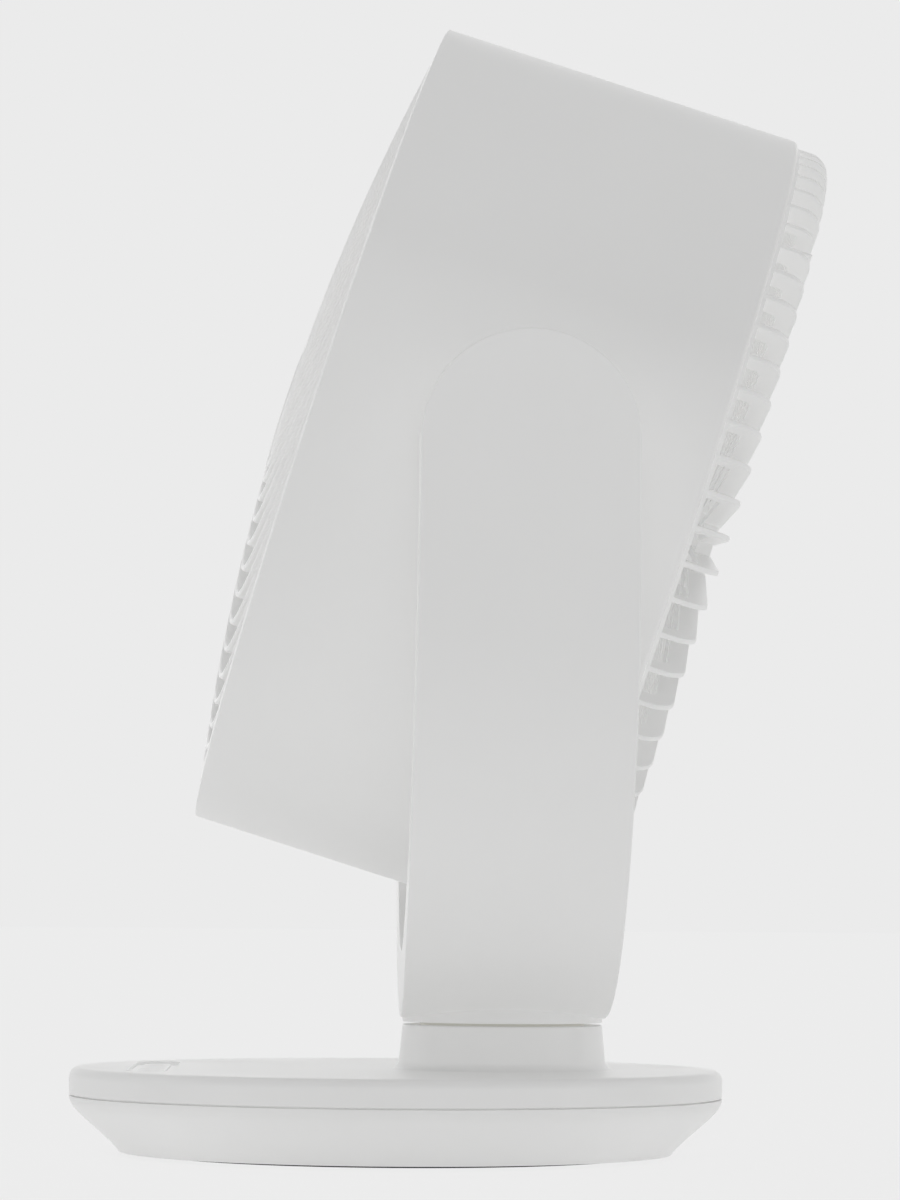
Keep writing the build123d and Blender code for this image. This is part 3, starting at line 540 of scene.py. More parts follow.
# ---------------------------------------------------------------- base
@dataclass
class Base:
    """The round foot: a top cover with its collar, a lower dish and the push keys."""

    radius: float = 103.5 * MM
    top: float = 27.4 * MM
    seam: float = 18.4 * MM
    seam_gap: float = 0.5 * MM
    edge: float = 3.0 * MM
    wall: float = 2.5 * MM
    skin: float = 3.0 * MM
    foot: float = 1.0 * MM
    flat_radius: float = 87.6 * MM
    foot_ring: tuple[float, float] = (77.1 * MM, 68.9 * MM)
    screw_at: float = 44.0 * MM
    collar_radius: float = 31.75 * MM
    collar_foot: float = 35.95 * MM
    collar_top: float = 41.4 * MM
    flare_inset: float = 1.0 * MM
    flare_height: float = 3.0 * MM
    overlap: float = 2.0 * MM     # how deep the collar reaches into the cover
    # radius, lower and upper end of the bores for the swivel's tube, gear and washer, in millimetres
    swivel_bores: tuple[tuple[float, float, float], ...] = (
        (29.2, 33.0, 45.0), (29.2, 20.0, 30.0), (17.55, 20.0, 45.0))
    panel_y: float = -77.0 * MM
    panel_length: float = 100.0 * MM
    panel_width: float = 14.0 * MM
    panel_depth: float = 1.2 * MM
    keys: int = 5
    key_pitch: float = 15.0 * MM
    key_length: float = 12.6 * MM
    key_width: float = 8.6 * MM
    key_corner: float = 2.4 * MM
    key_sink: float = 0.4 * MM
    key_height: float = 4.0 * MM
    key_edge: float = 0.5 * MM
    key_hollow: tuple[float, float, int] = (0.75 * MM, 0.05 * MM, 3)   # each step's width, depth, how many
    key_gap: float = 0.25 * MM
    flange: tuple[float, float, float] = (14.4 * MM, 11.2 * MM, 1.0 * MM)
    flange_drop: float = 3.3 * MM
    stem_radius: float = 1.8 * MM
    stem_foot: float = 20.6 * MM
    lip_height: float = 2.5 * MM
    lip_thickness: float = 2.0 * MM
    # the pulls that curve the dish's flank, then centre and size of two blocks, in millimetres
    flank_pulls: tuple[tuple[float, float, float], ...] = ((5.2, 6.9, 0), (0, 5, 0))
    alcove: tuple[tuple[float, float, float], ...] = ((0, 100, 10.25), (22, 29, 14))
    mouth: tuple[tuple[float, float, float], ...] = ((0, 104, 10.35), (17, 32, 9.7))
    inlet_z: float = 10.4 * MM
    socket_radius: float = 4.45 * MM
    screw_seats: tuple[tuple[float, float], ...] = ((4.2 * MM, 2.3 * MM), (2.2 * MM, 6 * MM))

    def build(self, bench: Bench) -> None:
        """Makes the base's pieces."""
        bench.finish_piece("base_cover_shell", self.cover(), Body.BASE, Slot.SHELL, ["base_top_cover"])
        bench.finish_piece("base_dish_shell", self.dish(), Body.BASE, Slot.SHELL, ["base_bottom_dish"])
        for number, x in enumerate(self.key_places(), start=1):
            bench.finish_piece(f"key_cap_{number}", self.key(x), Body(f"key_{number}"), Slot.KEY,
                               [f"push_button_{number}"])

    def collar(self) -> BMesh:
        """The raised collar with its flared foot."""
        low, root = self.top - 0.1 * MM, self.top - self.overlap
        reach = self.collar_foot - (self.collar_radius + self.flare_inset)
        flare = [(self.collar_foot - reach * sin(a), low + self.flare_height * (1 - cos(a)), 0)
                 for a in (pi / 2 * i / 8 for i in range(9))]
        outline = [(0, root, 0), (self.collar_foot, root, 0), *flare,
                   (self.collar_radius, self.collar_top, 0.6 * MM), (0, self.collar_top, 0)]
        return moved(turn(outline, Facets.NECK), PAN_PLACE)

    def recess(self) -> BMesh:
        """The long round-ended hollow that holds the keys, as a cutting block."""
        half = self.panel_width / 2
        reach = self.panel_length / 2 - half
        low = self.top - self.panel_depth
        right = [Vector((reach + y, x + self.panel_y, low)) for x, y in arc((0, 0), half, pi, 0, 24)]
        left = [Vector((-reach + y, x + self.panel_y, low)) for x, y in arc((0, 0), half, 0, -pi, 24)]
        return prism(right + left, Vector((0, 0, self.panel_depth + 1 * MM)))

    def key_places(self) -> list[float]:
        """Where the keys sit along X."""
        return [(i - (self.keys - 1) / 2) * self.key_pitch for i in range(self.keys)]

    def key_block(self, x: float, grow: float, low: float, high: float) -> BMesh:
        """A block with a key's rounded outline.

        Args:
            x: Where the key sits.
            grow: How much wider than the key the block is, all round.
            low: The block's underside.
            high: The block's top.

        Returns:
            The closed solid.
        """
        size = (self.key_length + 2 * grow, self.key_width + 2 * grow, high - low)
        bm = box_solid(Vector((x, self.panel_y, (low + high) / 2)), Vector(size))
        return soften(bm, stands_upright, self.key_corner + grow, 6)

    def cover(self) -> BMesh:
        """The top cover with its collar, bearing plate, recess and key windows."""
        low = self.seam + self.seam_gap
        under = self.top - self.skin
        bm = turn([(0, under, 0), (self.radius - self.wall, under, 0), (self.radius - self.wall, low, 0),
                   (self.radius, low, 0.25 * MM), (self.radius, self.top, self.edge), (0, self.top, 0)])
        bm = carve(bm, self.collar(), Cut.JOIN)
        for radius, start, end in self.swivel_bores:
            bm = carve(bm, post(radius * MM, 0, PAN_Y, start * MM, end * MM, Facets.DISC), Cut.TAKE_AWAY)
        bm = carve(bm, self.recess(), Cut.TAKE_AWAY)
        bm = soften(bm, self.on_recess_rim, 0.35 * MM, 3)
        windows = joined(self.key_block(x, self.key_gap, under - 1 * MM, self.top) for x in self.key_places())
        return carve(bm, windows, Cut.TAKE_AWAY)

    def on_recess_rim(self, edge: bmesh.types.BMEdge) -> bool:
        """True for the upper edges of the recess."""
        return all(abs(v.co.z - self.top) < 1e-6 and abs(v.co.x) < self.panel_length / 2 + 1e-5
                   and abs(v.co.y - self.panel_y) < self.panel_width / 2 + 1e-5 for v in edge.verts)

    def key(self, x: float) -> BMesh:
        """A push key with a softly dished top, its flange and its stem."""
        high = self.top - self.key_sink
        cap = self.key_block(x, 0, high - self.key_height, high)
        cap = soften(cap, lambda e: all(v.co.z > high - 1e-6 for v in e.verts), self.key_edge, 4)
        crown = max(cap.faces, key=lambda f: f.calc_center_median().z)
        width, depth, steps = self.key_hollow
        for step in range(steps):
            bmesh.ops.inset_region(cap, faces=[crown], thickness=width, depth=-depth * (steps - step))
        flange = box_solid(Vector((x, self.panel_y, high - self.flange_drop)), Vector(self.flange))
        stem = post(self.stem_radius, x, self.panel_y, self.stem_foot, high - 3.5 * MM)
        return carve(carve(cap, flange, Cut.JOIN), stem, Cut.JOIN)

    def bowl(self, inset: float, top: float) -> list[tuple[float, float, float]]:
        """The dish's flank as an outline from its flat underside up to its rim."""
        start = Vector((self.flat_radius - inset, self.foot + inset, 0))
        end = Vector((self.radius - inset, top, 0))
        low, high = (Vector(pull) * MM for pull in self.flank_pulls)
        flank = interpolate_bezier(start, start + low, end - high, end, 16)
        return [(p.x, p.y, 0) for p in flank]

    def dish(self) -> BMesh:
        """The lower dish with the alcove for the inlet, the ring's groove and the screw holes."""
        lip_out = self.radius - self.wall - 0.2 * MM
        lip_in, lip_top = lip_out - self.lip_thickness, self.seam + self.lip_height
        inner = [(lip_out, self.seam, 0), (lip_out, lip_top, 0.3 * MM), (lip_in, lip_top, 0.3 * MM),
                 (lip_in, self.seam - 4 * MM, 0)]
        hollow = [p for p in reversed(self.bowl(self.wall, self.seam)) if p[1] < self.seam - 5 * MM]
        bm = turn([(0, self.foot, 0), *self.bowl(0, self.seam), *inner, *hollow,
                   (0, self.foot + self.wall, 0)])
        alcove = box_solid(*(Vector(place) * MM for place in self.alcove))
        filled = turn([(0, self.foot, 0), *self.bowl(0, self.seam), (0, self.seam, 0)])
        alcove = carve(alcove, filled, Cut.KEEP_COMMON)
        bm = carve(bm, alcove, Cut.JOIN)
        mouth = box_solid(*(Vector(place) * MM for place in self.mouth))
        mouth = soften(mouth, lambda e: abs(e.verts[0].co.y - e.verts[1].co.y) > 1e-3, 1.2 * MM, 3)
        bm = carve(bm, mouth, Cut.TAKE_AWAY)
        socket = rod(self.socket_radius, Vector((0, 80 * MM, self.inlet_z)), Vector((0, 95 * MM, self.inlet_z)))
        bm = carve(bm, socket, Cut.TAKE_AWAY)
        outer, inside = self.foot_ring
        groove = turn([(inside, 0, 0), (outer, 0, 0), (outer, self.foot * 2, 0), (inside, self.foot * 2, 0)])
        bm = carve(bm, groove, Cut.TAKE_AWAY)
        for radius, depth in self.screw_seats:
            holes = joined(post(radius, x, y, 0, depth, Facets.SCREW)
                           for x in (-self.screw_at, self.screw_at) for y in (-self.screw_at, self.screw_at))
            bm = carve(bm, holes, Cut.TAKE_AWAY)
        return bm


# ---------------------------------------------------------------- yoke
@dataclass
class Yoke:
    """The U-shaped yoke: an outer cover on a round neck, closed by an inner shell."""

    outer: float = 158.0 * MM
    inner: float = 135.0 * MM
    outer_radius: float = 171.0 * MM
    inner_radius: float = 150.0 * MM
    outer_blend: float = 90.0 * MM
    inner_blend: float = 60.0 * MM
    wall: float = 2.5 * MM
    fit: float = 0.15 * MM
    edge: float = 3.0 * MM
    inner_edge: float = 0.5 * MM
    front: float = 1.2 * MM
    front_top: float = 3.2 * MM
    rear: float = 66.3 * MM
    round_z: float = 212.0 * MM
    above: float = 60.0 * MM
    beyond: float = 200.0 * MM
    neck_radius: float = 31.75 * MM
    neck_z: float = 42.2 * MM
    neck_top: float = 50.0 * MM
    tube_bore: float = 14.05 * MM
    pivot_bore: float = 13.02 * MM
    liner_blend: float = 61.5 * MM
    # a screw's bore, where it starts, and how far it reaches past the inner face
    screw_bores: tuple[tuple[float, float, float], ...] = (
        (1.6 * MM, 130 * MM, 5 * MM), (3.2 * MM, 130 * MM, 1.3 * MM))
    screws: tuple[tuple[float, float], ...] = ((14.0, 160.0), (53.5, 160.0), (34.7, 235.6))

    def build(self, bench: Bench) -> None:
        """Makes the yoke's two shells."""
        bench.finish_piece("yoke_cover_shell", self.cover(), Body.YOKE, Slot.SHELL, ["yoke_outer_cover"])
        bench.finish_piece("yoke_inner_band", self.liner(), Body.YOKE, Slot.SHELL, ["yoke_inner_shell"])

    def path(self, half: float, radius: float, blend: float) -> list[tuple[float, float]]:
        """The U seen from the front, from the top of one side round to the top of the other.

        Args:
            half: Half the width across the upright sides.
            radius: The lower curve, about the pivot.
            blend: The corner between a side and the lower curve.

        Returns:
            The points as (x, z).
        """
        across = half - blend
        drop = sqrt((radius - blend) ** 2 - across ** 2)
        lean = atan2(drop, across)
        right = arc((across, PIVOT_Z - drop), blend, 0, -lean, 16)
        low = arc((0, PIVOT_Z), radius, -lean, lean - pi, 64)
        left = arc((-across, PIVOT_Z - drop), blend, lean - pi, -pi, 16)
        top = PIVOT_Z + self.above
        return [(half, top), *right, *low[1:-1], *left, (-half, top)]

    def band(self, outside: list[tuple[float, float]], inside: list[tuple[float, float]]) -> BMesh:
        """The space between two U paths, wide enough to be trimmed."""
        outline = [Vector((x, PAN_Y - self.above, z)) for x, z in [*outside, *reversed(inside)]]
        return prism(outline, Vector((0, 2 * self.above, 0)))

    def side_view(self, inset: float) -> BMesh:
        """The yoke's outline seen from the side, pushed through its whole width."""
        middle = (self.front_top + self.rear) / 2
        radius = (self.rear - self.front_top) / 2 - inset
        top = arc((middle, self.round_z), radius, pi, 0, 64)
        corners = [(self.front + inset, 30 * MM), (self.front + inset, 60 * MM),
                   (middle - radius, self.round_z - 16 * MM), *top, (self.rear - inset, 30 * MM)]
        outline = [Vector((-self.beyond, y, z)) for y, z in corners]
        return prism(outline, Vector((2 * self.beyond, 0, 0)))

    def faces_out(self, face: bmesh.types.BMFace) -> float:
        """How squarely a face looks away from the drum: 1 outwards, -1 inwards, 0 along the sides."""
        centre = face.calc_center_median()
        away = Vector((centre.x, 0, min(centre.z - PIVOT_Z, 0)))
        return face.normal.dot(away.normalized())

    def cover(self) -> BMesh:
        """The outer cover: a hollow U with rounded edges, on its neck."""
        bm = self.band(self.path(self.outer, self.outer_radius, self.outer_blend),
                       self.path(self.inner, self.inner_radius, self.inner_blend))
        bm = carve(bm, self.side_view(0), Cut.KEEP_COMMON)
        bm = soften(bm, lambda e: sorted(self.faces_out(f) > 0.5 for f in e.link_faces) == [False, True]
                    and all(abs(self.faces_out(f)) > 0.5 or self.faces_out(f) < 0.3 for f in e.link_faces),
                    self.edge, 6)
        bm = soften(bm, lambda e: sorted(self.faces_out(f) < -0.5 for f in e.link_faces) == [False, True],
                    self.inner_edge, 2)
        neck = turn([(0, self.neck_z, 0), (self.neck_radius, self.neck_z, 0.3 * MM),
                     (self.neck_radius, self.neck_top, 0), (0, self.neck_top, 0)], Facets.NECK)
        bm = carve(bm, moved(neck, PAN_PLACE), Cut.JOIN)
        filled = [Vector((x, PAN_Y - self.above, z)) for x, z in self.path(
            self.outer - self.wall, self.outer_radius - self.wall, self.outer_blend - 2 * MM)]
        cavity = prism(filled, Vector((0, 2 * self.above, 0)))
        cavity = carve(cavity, self.side_view(self.wall), Cut.KEEP_COMMON)
        bm = carve(bm, cavity, Cut.TAKE_AWAY)
        return carve(bm, post(self.tube_bore, 0, PAN_Y, 30 * MM, 60 * MM, Facets.BORE), Cut.TAKE_AWAY)

    def liner(self) -> BMesh:
        """The inner shell that closes the cover, with its pivot and screw holes."""
        bm = self.band(self.path(self.inner + self.wall, self.inner_radius + self.wall, self.liner_blend),
                       self.path(self.inner, self.inner_radius, self.inner_blend))
        bm = carve(bm, self.side_view(self.wall + self.fit), Cut.KEEP_COMMON)
        reach = Vector((self.outer, 0, 0))
        pivot = Vector((0, PAN_Y, PIVOT_Z))
        bm = carve(bm, rod(self.pivot_bore, pivot - reach, pivot + reach, Facets.BORE), Cut.TAKE_AWAY)
        for radius, start, past in self.screw_bores:
            bores = joined(side_pins(radius, y * MM, z * MM, start, self.inner + past, Facets.SCREW)
                           for y, z in self.screws)
            bm = carve(bm, bores, Cut.TAKE_AWAY)
        return bm


# ---------------------------------------------------------------- head
@dataclass
class Drum:
    """The drum-shaped housing, made about its own axis with +Z to the rear."""

    radius: float = 132.0 * MM
    wall: float = 3.0 * MM
    half: float = 58.1 * MM
    edge: float = 1.4 * MM
    ledge: float = 126.4 * MM
    ledge_depth: float = 8.1 * MM
    ledge_thickness: float = 3.0 * MM
    pad_radius: float = 20.0 * MM
    pad_height: float = 1.5 * MM
    inside_pad: tuple[float, float] = (18.0 * MM, 126.0 * MM)
    pivot_bore: float = 10.0 * MM
    boss_at: float = 124.8 * MM
    boss_radii: tuple[float, float] = (1.3 * MM, 4.5 * MM)
    boss_span: tuple[float, float] = (40 * MM, 54 * MM)

    def build(self, bench: Bench) -> None:
        """Makes the housing."""
        bench.finish_piece("drum_shell", self.shell(), Body.HEAD, Slot.SHELL, ["drum_housing"])

    def pads(self, radius: float, inner: float, outer: float) -> BMesh:
        """A pair of round blocks on the tilt pivot, one on each side."""
        return side_pins(radius, PAN_Y, PIVOT_Z, inner, outer, Facets.PAD)

    def shell(self) -> BMesh:
        """The turned housing with its ledge, screw bosses and pivot pads."""
        inner, front, lip = self.radius - self.wall, -self.half, 0.3 * MM
        ledge = front + self.ledge_depth
        under = ledge + self.ledge_thickness
        bm = turn([(inner, front, lip), (self.radius, front, lip), (self.radius, self.half, self.edge),
                   (inner, self.half, lip), (inner, under, 0), (self.ledge, under, 0), (self.ledge, ledge, 0),
                   (inner, ledge, 0)], Facets.DRUM)
        (hole, wide), (low, high) = self.boss_radii, self.boss_span
        boss = [(hole, low, 0), (wide, low, 0), (wide, high, 0), (hole, high, 0)]
        bosses = round_copies(lambda: moved(turn(boss, Facets.BOSS), Matrix.Translation((self.boss_at, 0, 0))),
                              4, 45)
        bm = moved(carve(bm, bosses, Cut.JOIN), HEAD_PLACE)
        outside = self.pads(self.pad_radius, self.radius - 3 * MM, self.radius + self.pad_height)
        bm = carve(bm, outside, Cut.JOIN)
        bm = carve(bm, self.pads(*self.inside_pad, self.radius - 1 * MM), Cut.JOIN)
        return carve(bm, self.pads(self.pivot_bore, 100 * MM, 150 * MM), Cut.TAKE_AWAY)


@dataclass
class FrontGrille:
    """The domed front grille: arc-shaped bars that swirl from the rim in to a small hub."""

    bars: int = 45
    arc_radius: float = 69.5 * MM
    arc_offset: float = 61.0 * MM
    first_angle: float = 3.2
    ends: tuple[float, float] = (28.0, 165.0)
    stations: int = 56
    bar: float = 1.8 * MM
    round_over: float = 0.7 * MM
    draft: float = 0.15 * MM
    set_back: float = 0.2 * MM
    depth: float = 4.2 * MM
    supports: tuple[float, ...] = (54.0 * MM, 92.0 * MM)
    hub: float = 22.0 * MM
    disc: float = 14.0 * MM
    crown: float = -71.2 * MM
    dome_radius: float = 645.0 * MM
    rim: float = 128.7 * MM
    rim_inner: float = 125.3 * MM
    skirt: float = 126.4 * MM
    drum_front: float = -58.1 * MM
    skirt_depth: float = 8.1 * MM
    web_depth: float = 5.0 * MM
    support_depths: tuple[float, float] = (3.0 * MM, 5.8 * MM)
    seat_depth: float = 1.6 * MM
    hub_depth: float = 5.4 * MM
    disc_hollow: tuple[tuple[float, float], ...] = ((0, 0.5), (5, 0.42), (9, 0.2), (11.6, 0))   # millimetres

    def build(self, bench: Bench) -> None:
        """Makes the grille and the bare disc in its middle."""
        bench.finish_piece("front_swirl_grille", self.grille(), Body.HEAD, Slot.GRILLE, ["front_grille"])
        bench.finish_piece("front_bare_disc", self.middle_disc(), Body.HEAD, Slot.BADGE, ["front_badge"])

    def dome(self, radius: float) -> float:
        """Where the grille's face lies at a radius."""
        return self.crown + radius * radius / (2 * self.dome_radius)

    def bar_point(self, turned: float, aside: float, depth: float) -> Vector:
        """A point of a bar.

        Args:
            turned: Degrees round the bar's own centre.
            aside: Distance from the bar's middle line.
            depth: Distance behind the grille's face.

        Returns:
            The point, in the drum's own frame.
        """
        angle = radians(turned)
        outward, across = Vector((self.arc_offset, 0, 0)), Vector((cos(angle), sin(angle), 0))
        middle = outward + across * self.arc_radius
        return middle + across * aside + Vector((0, 0, self.dome(middle.length) + depth))

    def bar_section(self) -> list[tuple[float, float]]:
        """A bar's section as (aside, depth): well rounded in front, a little thinner behind."""
        half, nose = self.bar / 2, self.round_over
        left = arc((nose - half, self.set_back + nose), nose, pi, 1.5 * pi, 4)
        right = [(-aside, depth) for aside, depth in reversed(left)]
        return [*left, *right, (half - self.draft, self.depth), (self.draft - half, self.depth)]

    def arc_bar(self) -> BMesh:
        """One bar, buried in the rim at one end and in the hub at the other."""
        bm = bmesh.new()
        first, last = self.ends
        loops = []
        for station in range(self.stations + 1):
            turned = first + (last - first) * station / self.stations
            loops.append([bm.verts.new(self.bar_point(turned, aside, depth))
                          for aside, depth in self.bar_section()])
        for loop, after in zip(loops, loops[1:]):
            for i, vert in enumerate(loop):
                bm.faces.new((loop[i - 1], vert, after[i], after[i - 1]))
        bm.faces.new(loops[0])
        bm.faces.new(loops[-1])
        bmesh.ops.recalc_face_normals(bm, faces=bm.faces)
        return bm

    def frame(self) -> BMesh:
        """The rim, which sits inside the drum's front edge, and its skirt."""
        back = self.drum_front + self.skirt_depth
        face = self.dome(self.rim_inner)
        web = face + self.web_depth
        return turn([(self.rim_inner, face, 0.6 * MM), (self.rim, self.dome(self.rim), 0.5 * MM),
                     (self.rim, back, 0), (self.skirt, back, 0), (self.skirt, web, 0),
                     (self.rim_inner, web, 0.3 * MM)], Facets.DRUM)

    def support(self, radius: float) -> BMesh:
        """A thin ring that ties the bars together from behind."""
        half, (front, back) = self.bar / 2, (self.dome(radius) + depth for depth in self.support_depths)
        return turn([(radius - half, front, 0), (radius + half, front, 0), (radius + half, back, 0.3 * MM),
                     (radius - half, back, 0.3 * MM)], Facets.RING)

    def centre(self) -> BMesh:
        """The solid hub with a seat for the disc."""
        seat, floor, back = self.disc + 0.1 * MM, self.crown + self.seat_depth, self.crown + self.hub_depth
        return turn([(0, floor, 0), (seat, floor, 0), (seat, self.crown, 0.2 * MM),
                     (self.hub, self.crown, 0.8 * MM), (self.hub, back, 0.3 * MM), (0, back, 0)], Facets.DISC)

    def grille(self) -> BMesh:
        """The whole grille as one moulding."""
        hoops = joined([self.frame(), self.centre(), *(self.support(radius) for radius in self.supports)])
        bars = round_copies(self.arc_bar, self.bars, self.first_angle)
        return moved(carve(hoops, bars, Cut.JOIN), HEAD_PLACE)

    def middle_disc(self) -> BMesh:
        """The bare disc: a shallow dish with a soft edge."""
        front, back = self.crown + 0.1 * MM, self.crown + self.seat_depth
        hollow = [(radius * MM, front + depth * MM, 0) for radius, depth in self.disc_hollow]
        return moved(turn([*hollow, (self.disc, front, 0.5 * MM), (self.disc, back, 0), (0, back, 0)],
                          Facets.DISC), HEAD_PLACE)


@dataclass
class RearGrille:
    """The rear grille: ribs that run back from the rim, turn and run in to the hub."""

    ribs: int = 74
    first_angle: float = -0.8
    thickness: float = 1.8 * MM
    draft: float = 1.18
    round_over: float = 0.55 * MM
    rim: float = 130.0 * MM
    drum_rear: float = 58.1 * MM
    corner_round: float = 6.5 * MM
    back: float = 70.0 * MM
    depth: float = 6.0 * MM
    hub: float = 38.0 * MM
    middle_ring: float = 66.0 * MM
    ring_thickness: float = 2.4 * MM
    ring_depths: tuple[float, float] = (5.6 * MM, 0.8 * MM)
    screw_at: float = 124.8 * MM
    cap: float = 30.9 * MM
    collar: tuple[float, float] = (119.5 * MM, 128.8 * MM)
    collar_front: float = 54.0 * MM
    lip: tuple[float, float] = (122.5 * MM, 1.2 * MM)   # its inner radius and its height
    cap_depth: float = 2.2 * MM
    screw_seat: float = 3.4 * MM

    def build(self, bench: Bench) -> None:
        """Makes the grille and the cap on its hub."""
        bench.finish_piece("rear_rib_grille", self.grille(), Body.HEAD, Slot.GRILLE, ["rear_grille"], 40)
        bench.finish_piece("rear_cap_disc", self.cap_disc(), Body.HEAD, Slot.BADGE, ["rear_hub_cap"])

    def rib(self, end: float, angle: float) -> BMesh:
        """One rib.

        Args:
            end: The radius at which it ends.
            angle: Its place round the axis in degrees.

        Returns:
            The closed solid.
        """
        inner, front = self.rim - self.depth, self.back - self.depth
        outside = [(self.rim, self.drum_rear),
                   *rounded((self.rim, self.drum_rear), (self.rim, self.back), (end, self.back),
                            self.corner_round, 7), (end, self.back)]
        inside = [(end, front), *rounded((end, front), (inner, front), (inner, self.drum_rear), 2 * MM, 3),
                  (inner, self.drum_rear)]
        half = self.thickness / 2
        bm = prism([Vector((r, -half, z)) for r, z in outside + inside], Vector((0, self.thickness, 0)))
        deep = [v for v in bm.verts if any(hypot(v.co.x - r, v.co.z - z) < 1e-6 for r, z in inside)]
        bmesh.ops.scale(bm, vec=(1, self.draft, 1), verts=deep)
        bm = soften(bm, lambda e: abs(e.verts[0].co.y - e.verts[1].co.y) < 1e-7
                    and all(any(hypot(v.co.x - r, v.co.z - z) < 1e-6 for r, z in outside) for v in e.verts),
                    self.round_over, 2)
        return moved(bm, Matrix.Rotation(radians(angle), 4, "Z"))

    def frame(self) -> BMesh:
        """The rim that the ribs stand on."""
        (inner, outer), front, rear = self.collar, self.collar_front, self.drum_rear
        step, lip = self.lip[0], rear + self.lip[1]
        return turn([(inner, front, 0), (outer, front, 0), (outer, rear, 0), (self.rim, rear, 0),
                     (self.rim, lip, 0.3 * MM), (step, lip, 0.3 * MM), (step, rear, 0), (inner, rear, 0)])

    def middle(self) -> BMesh:
        """The ring halfway in, where every second rib ends."""
        low, high = (self.back - depth for depth in self.ring_depths)
        half = self.ring_thickness / 2
        inside, outside = self.middle_ring - half, self.middle_ring + half
        return turn([(inside, low, 0), (outside, low, 0), (outside, high, 0.4 * MM), (inside, high, 0.4 * MM)],
                    Facets.RING)

    def centre(self) -> BMesh:
        """The hub with a seat for its cap."""
        front, seat, edge = self.back - self.depth, self.back - self.cap_depth, self.cap + 0.1 * MM
        return turn([(0, front, 0), (self.hub, front, 0), (self.hub, self.back, 1.0 * MM),
                     (edge, self.back, 0.2 * MM), (edge, seat, 0), (0, seat, 0)], Facets.RING)

    def grille(self) -> BMesh:
        """The whole grille as one moulding."""
        ends = (self.hub - 2 * MM, self.middle_ring)
        ribs = joined(self.rib(ends[i % 2], self.first_angle + 360 / self.ribs * i) for i in range(self.ribs))
        bm = carve(joined([self.frame(), self.middle(), self.centre()]), ribs, Cut.JOIN)
        seats = round_copies(lambda: post(self.screw_seat, self.screw_at, 0, 56.9 * MM, 90 * MM, Facets.SCREW),
                             4, 45)
        return moved(carve(bm, seats, Cut.TAKE_AWAY), HEAD_PLACE)

    def cap_disc(self) -> BMesh:
        """The softly crowned cap over the motor's screws."""
        low, top = self.back - self.cap_depth, self.back + 0.2 * MM
        return moved(turn([(0, low, 0), (self.cap, low, 0), (self.cap, top - 0.3 * MM, 0.25 * MM),
                           (26 * MM, top - 0.08 * MM, 0), (0, top, 0)], Facets.RING), HEAD_PLACE)


@dataclass
class Impeller:
    """The impeller: swept blades of falling pitch on a round-nosed hub."""

    blades: int = 5
    tip: float = 116.0 * MM
    root: float = 26.6 * MM
    hub: float = 28.0 * MM
    nose: float = -30.0 * MM
    rear: float = 37.0 * MM
    bore: float = 4.01 * MM
    thickness: float = 2.0 * MM
    chord: tuple[float, float] = (31.2 * MM, 0.44)      # at the axis, and its growth with the radius
    taper: tuple[float, float] = (0.86, 0.16)           # where the tip starts to narrow, and by how much
    pitch: tuple[float, float, float] = (24, 26, 1.35)  # degrees at the tip, added at the root, its bend
    swept: tuple[float, float] = (20 * MM, 102 * MM)    # where the sweep starts, and over what length
    sweep: float = 24 * MM
    camber: float = 0.0725

    def build(self, bench: Bench) -> None:
        """Makes the impeller."""
        bench.finish_piece("blade_wheel", self.wheel(), Body.ROTOR, Slot.BLADE, ["impeller"])

    def blade_point(self, along: float, span: float) -> Vector:
        """A point of a blade's middle surface.

        Args:
            along: Place on the chord, from -0.5 to 0.5.
            span: Place between the root, 0, and the tip, 1.

        Returns:
            The point.
        """
        radius = self.root + (self.tip - self.root) * span
        width, growth = self.chord
        narrows, loss = self.taper
        chord = (width + growth * radius) * (1 - loss * max(0, (span - narrows) / (1 - narrows)) ** 2)
        outward = (radius - self.swept[0]) / self.swept[1]
        flat, twist, bend = self.pitch
        pitch = radians(flat + twist * max(0, 1 - outward) ** bend)
        camber = self.camber * chord * (1 - 4 * along * along)
        across = along * chord * cos(pitch) - camber * sin(pitch) + self.sweep * outward ** 2
        height = along * chord * sin(pitch) + camber * cos(pitch)
        return Vector((radius * cos(across / radius), radius * sin(across / radius), height))

    def blade(self) -> BMesh:
        """One blade: a grid laid on the middle surface and thickened."""
        bm = bmesh.new()
        bmesh.ops.create_grid(bm, x_segments=20, y_segments=28, size=0.5)
        for vert in bm.verts:
            vert.co = self.blade_point(vert.co.x, vert.co.y + 0.5)
        bmesh.ops.recalc_face_normals(bm, faces=bm.faces)
        bmesh.ops.solidify(bm, geom=bm.faces, thickness=self.thickness)
        bmesh.ops.recalc_face_normals(bm, faces=bm.faces)
        return soften(bm, lambda e: e.calc_face_angle(0) > radians(60), 0.7 * MM, 3)

    def wheel(self) -> BMesh:
        """The hub with its blades."""
        wall, front, sleeve, end = self.hub - 2.5 * MM, self.nose + 3 * MM, 8 * MM, 30 * MM
        hub = turn([(self.bore, self.nose, 0), (self.hub, self.nose, 6 * MM), (self.hub, self.rear, 0.4 * MM),
                    (wall, self.rear, 0), (wall, front, 0), (sleeve, front, 0), (sleeve, end, 0),
                    (self.bore, end, 0)], Facets.DISC, 8)
        return moved(carve(hub, round_copies(self.blade, self.blades), Cut.JOIN), HEAD_PLACE)


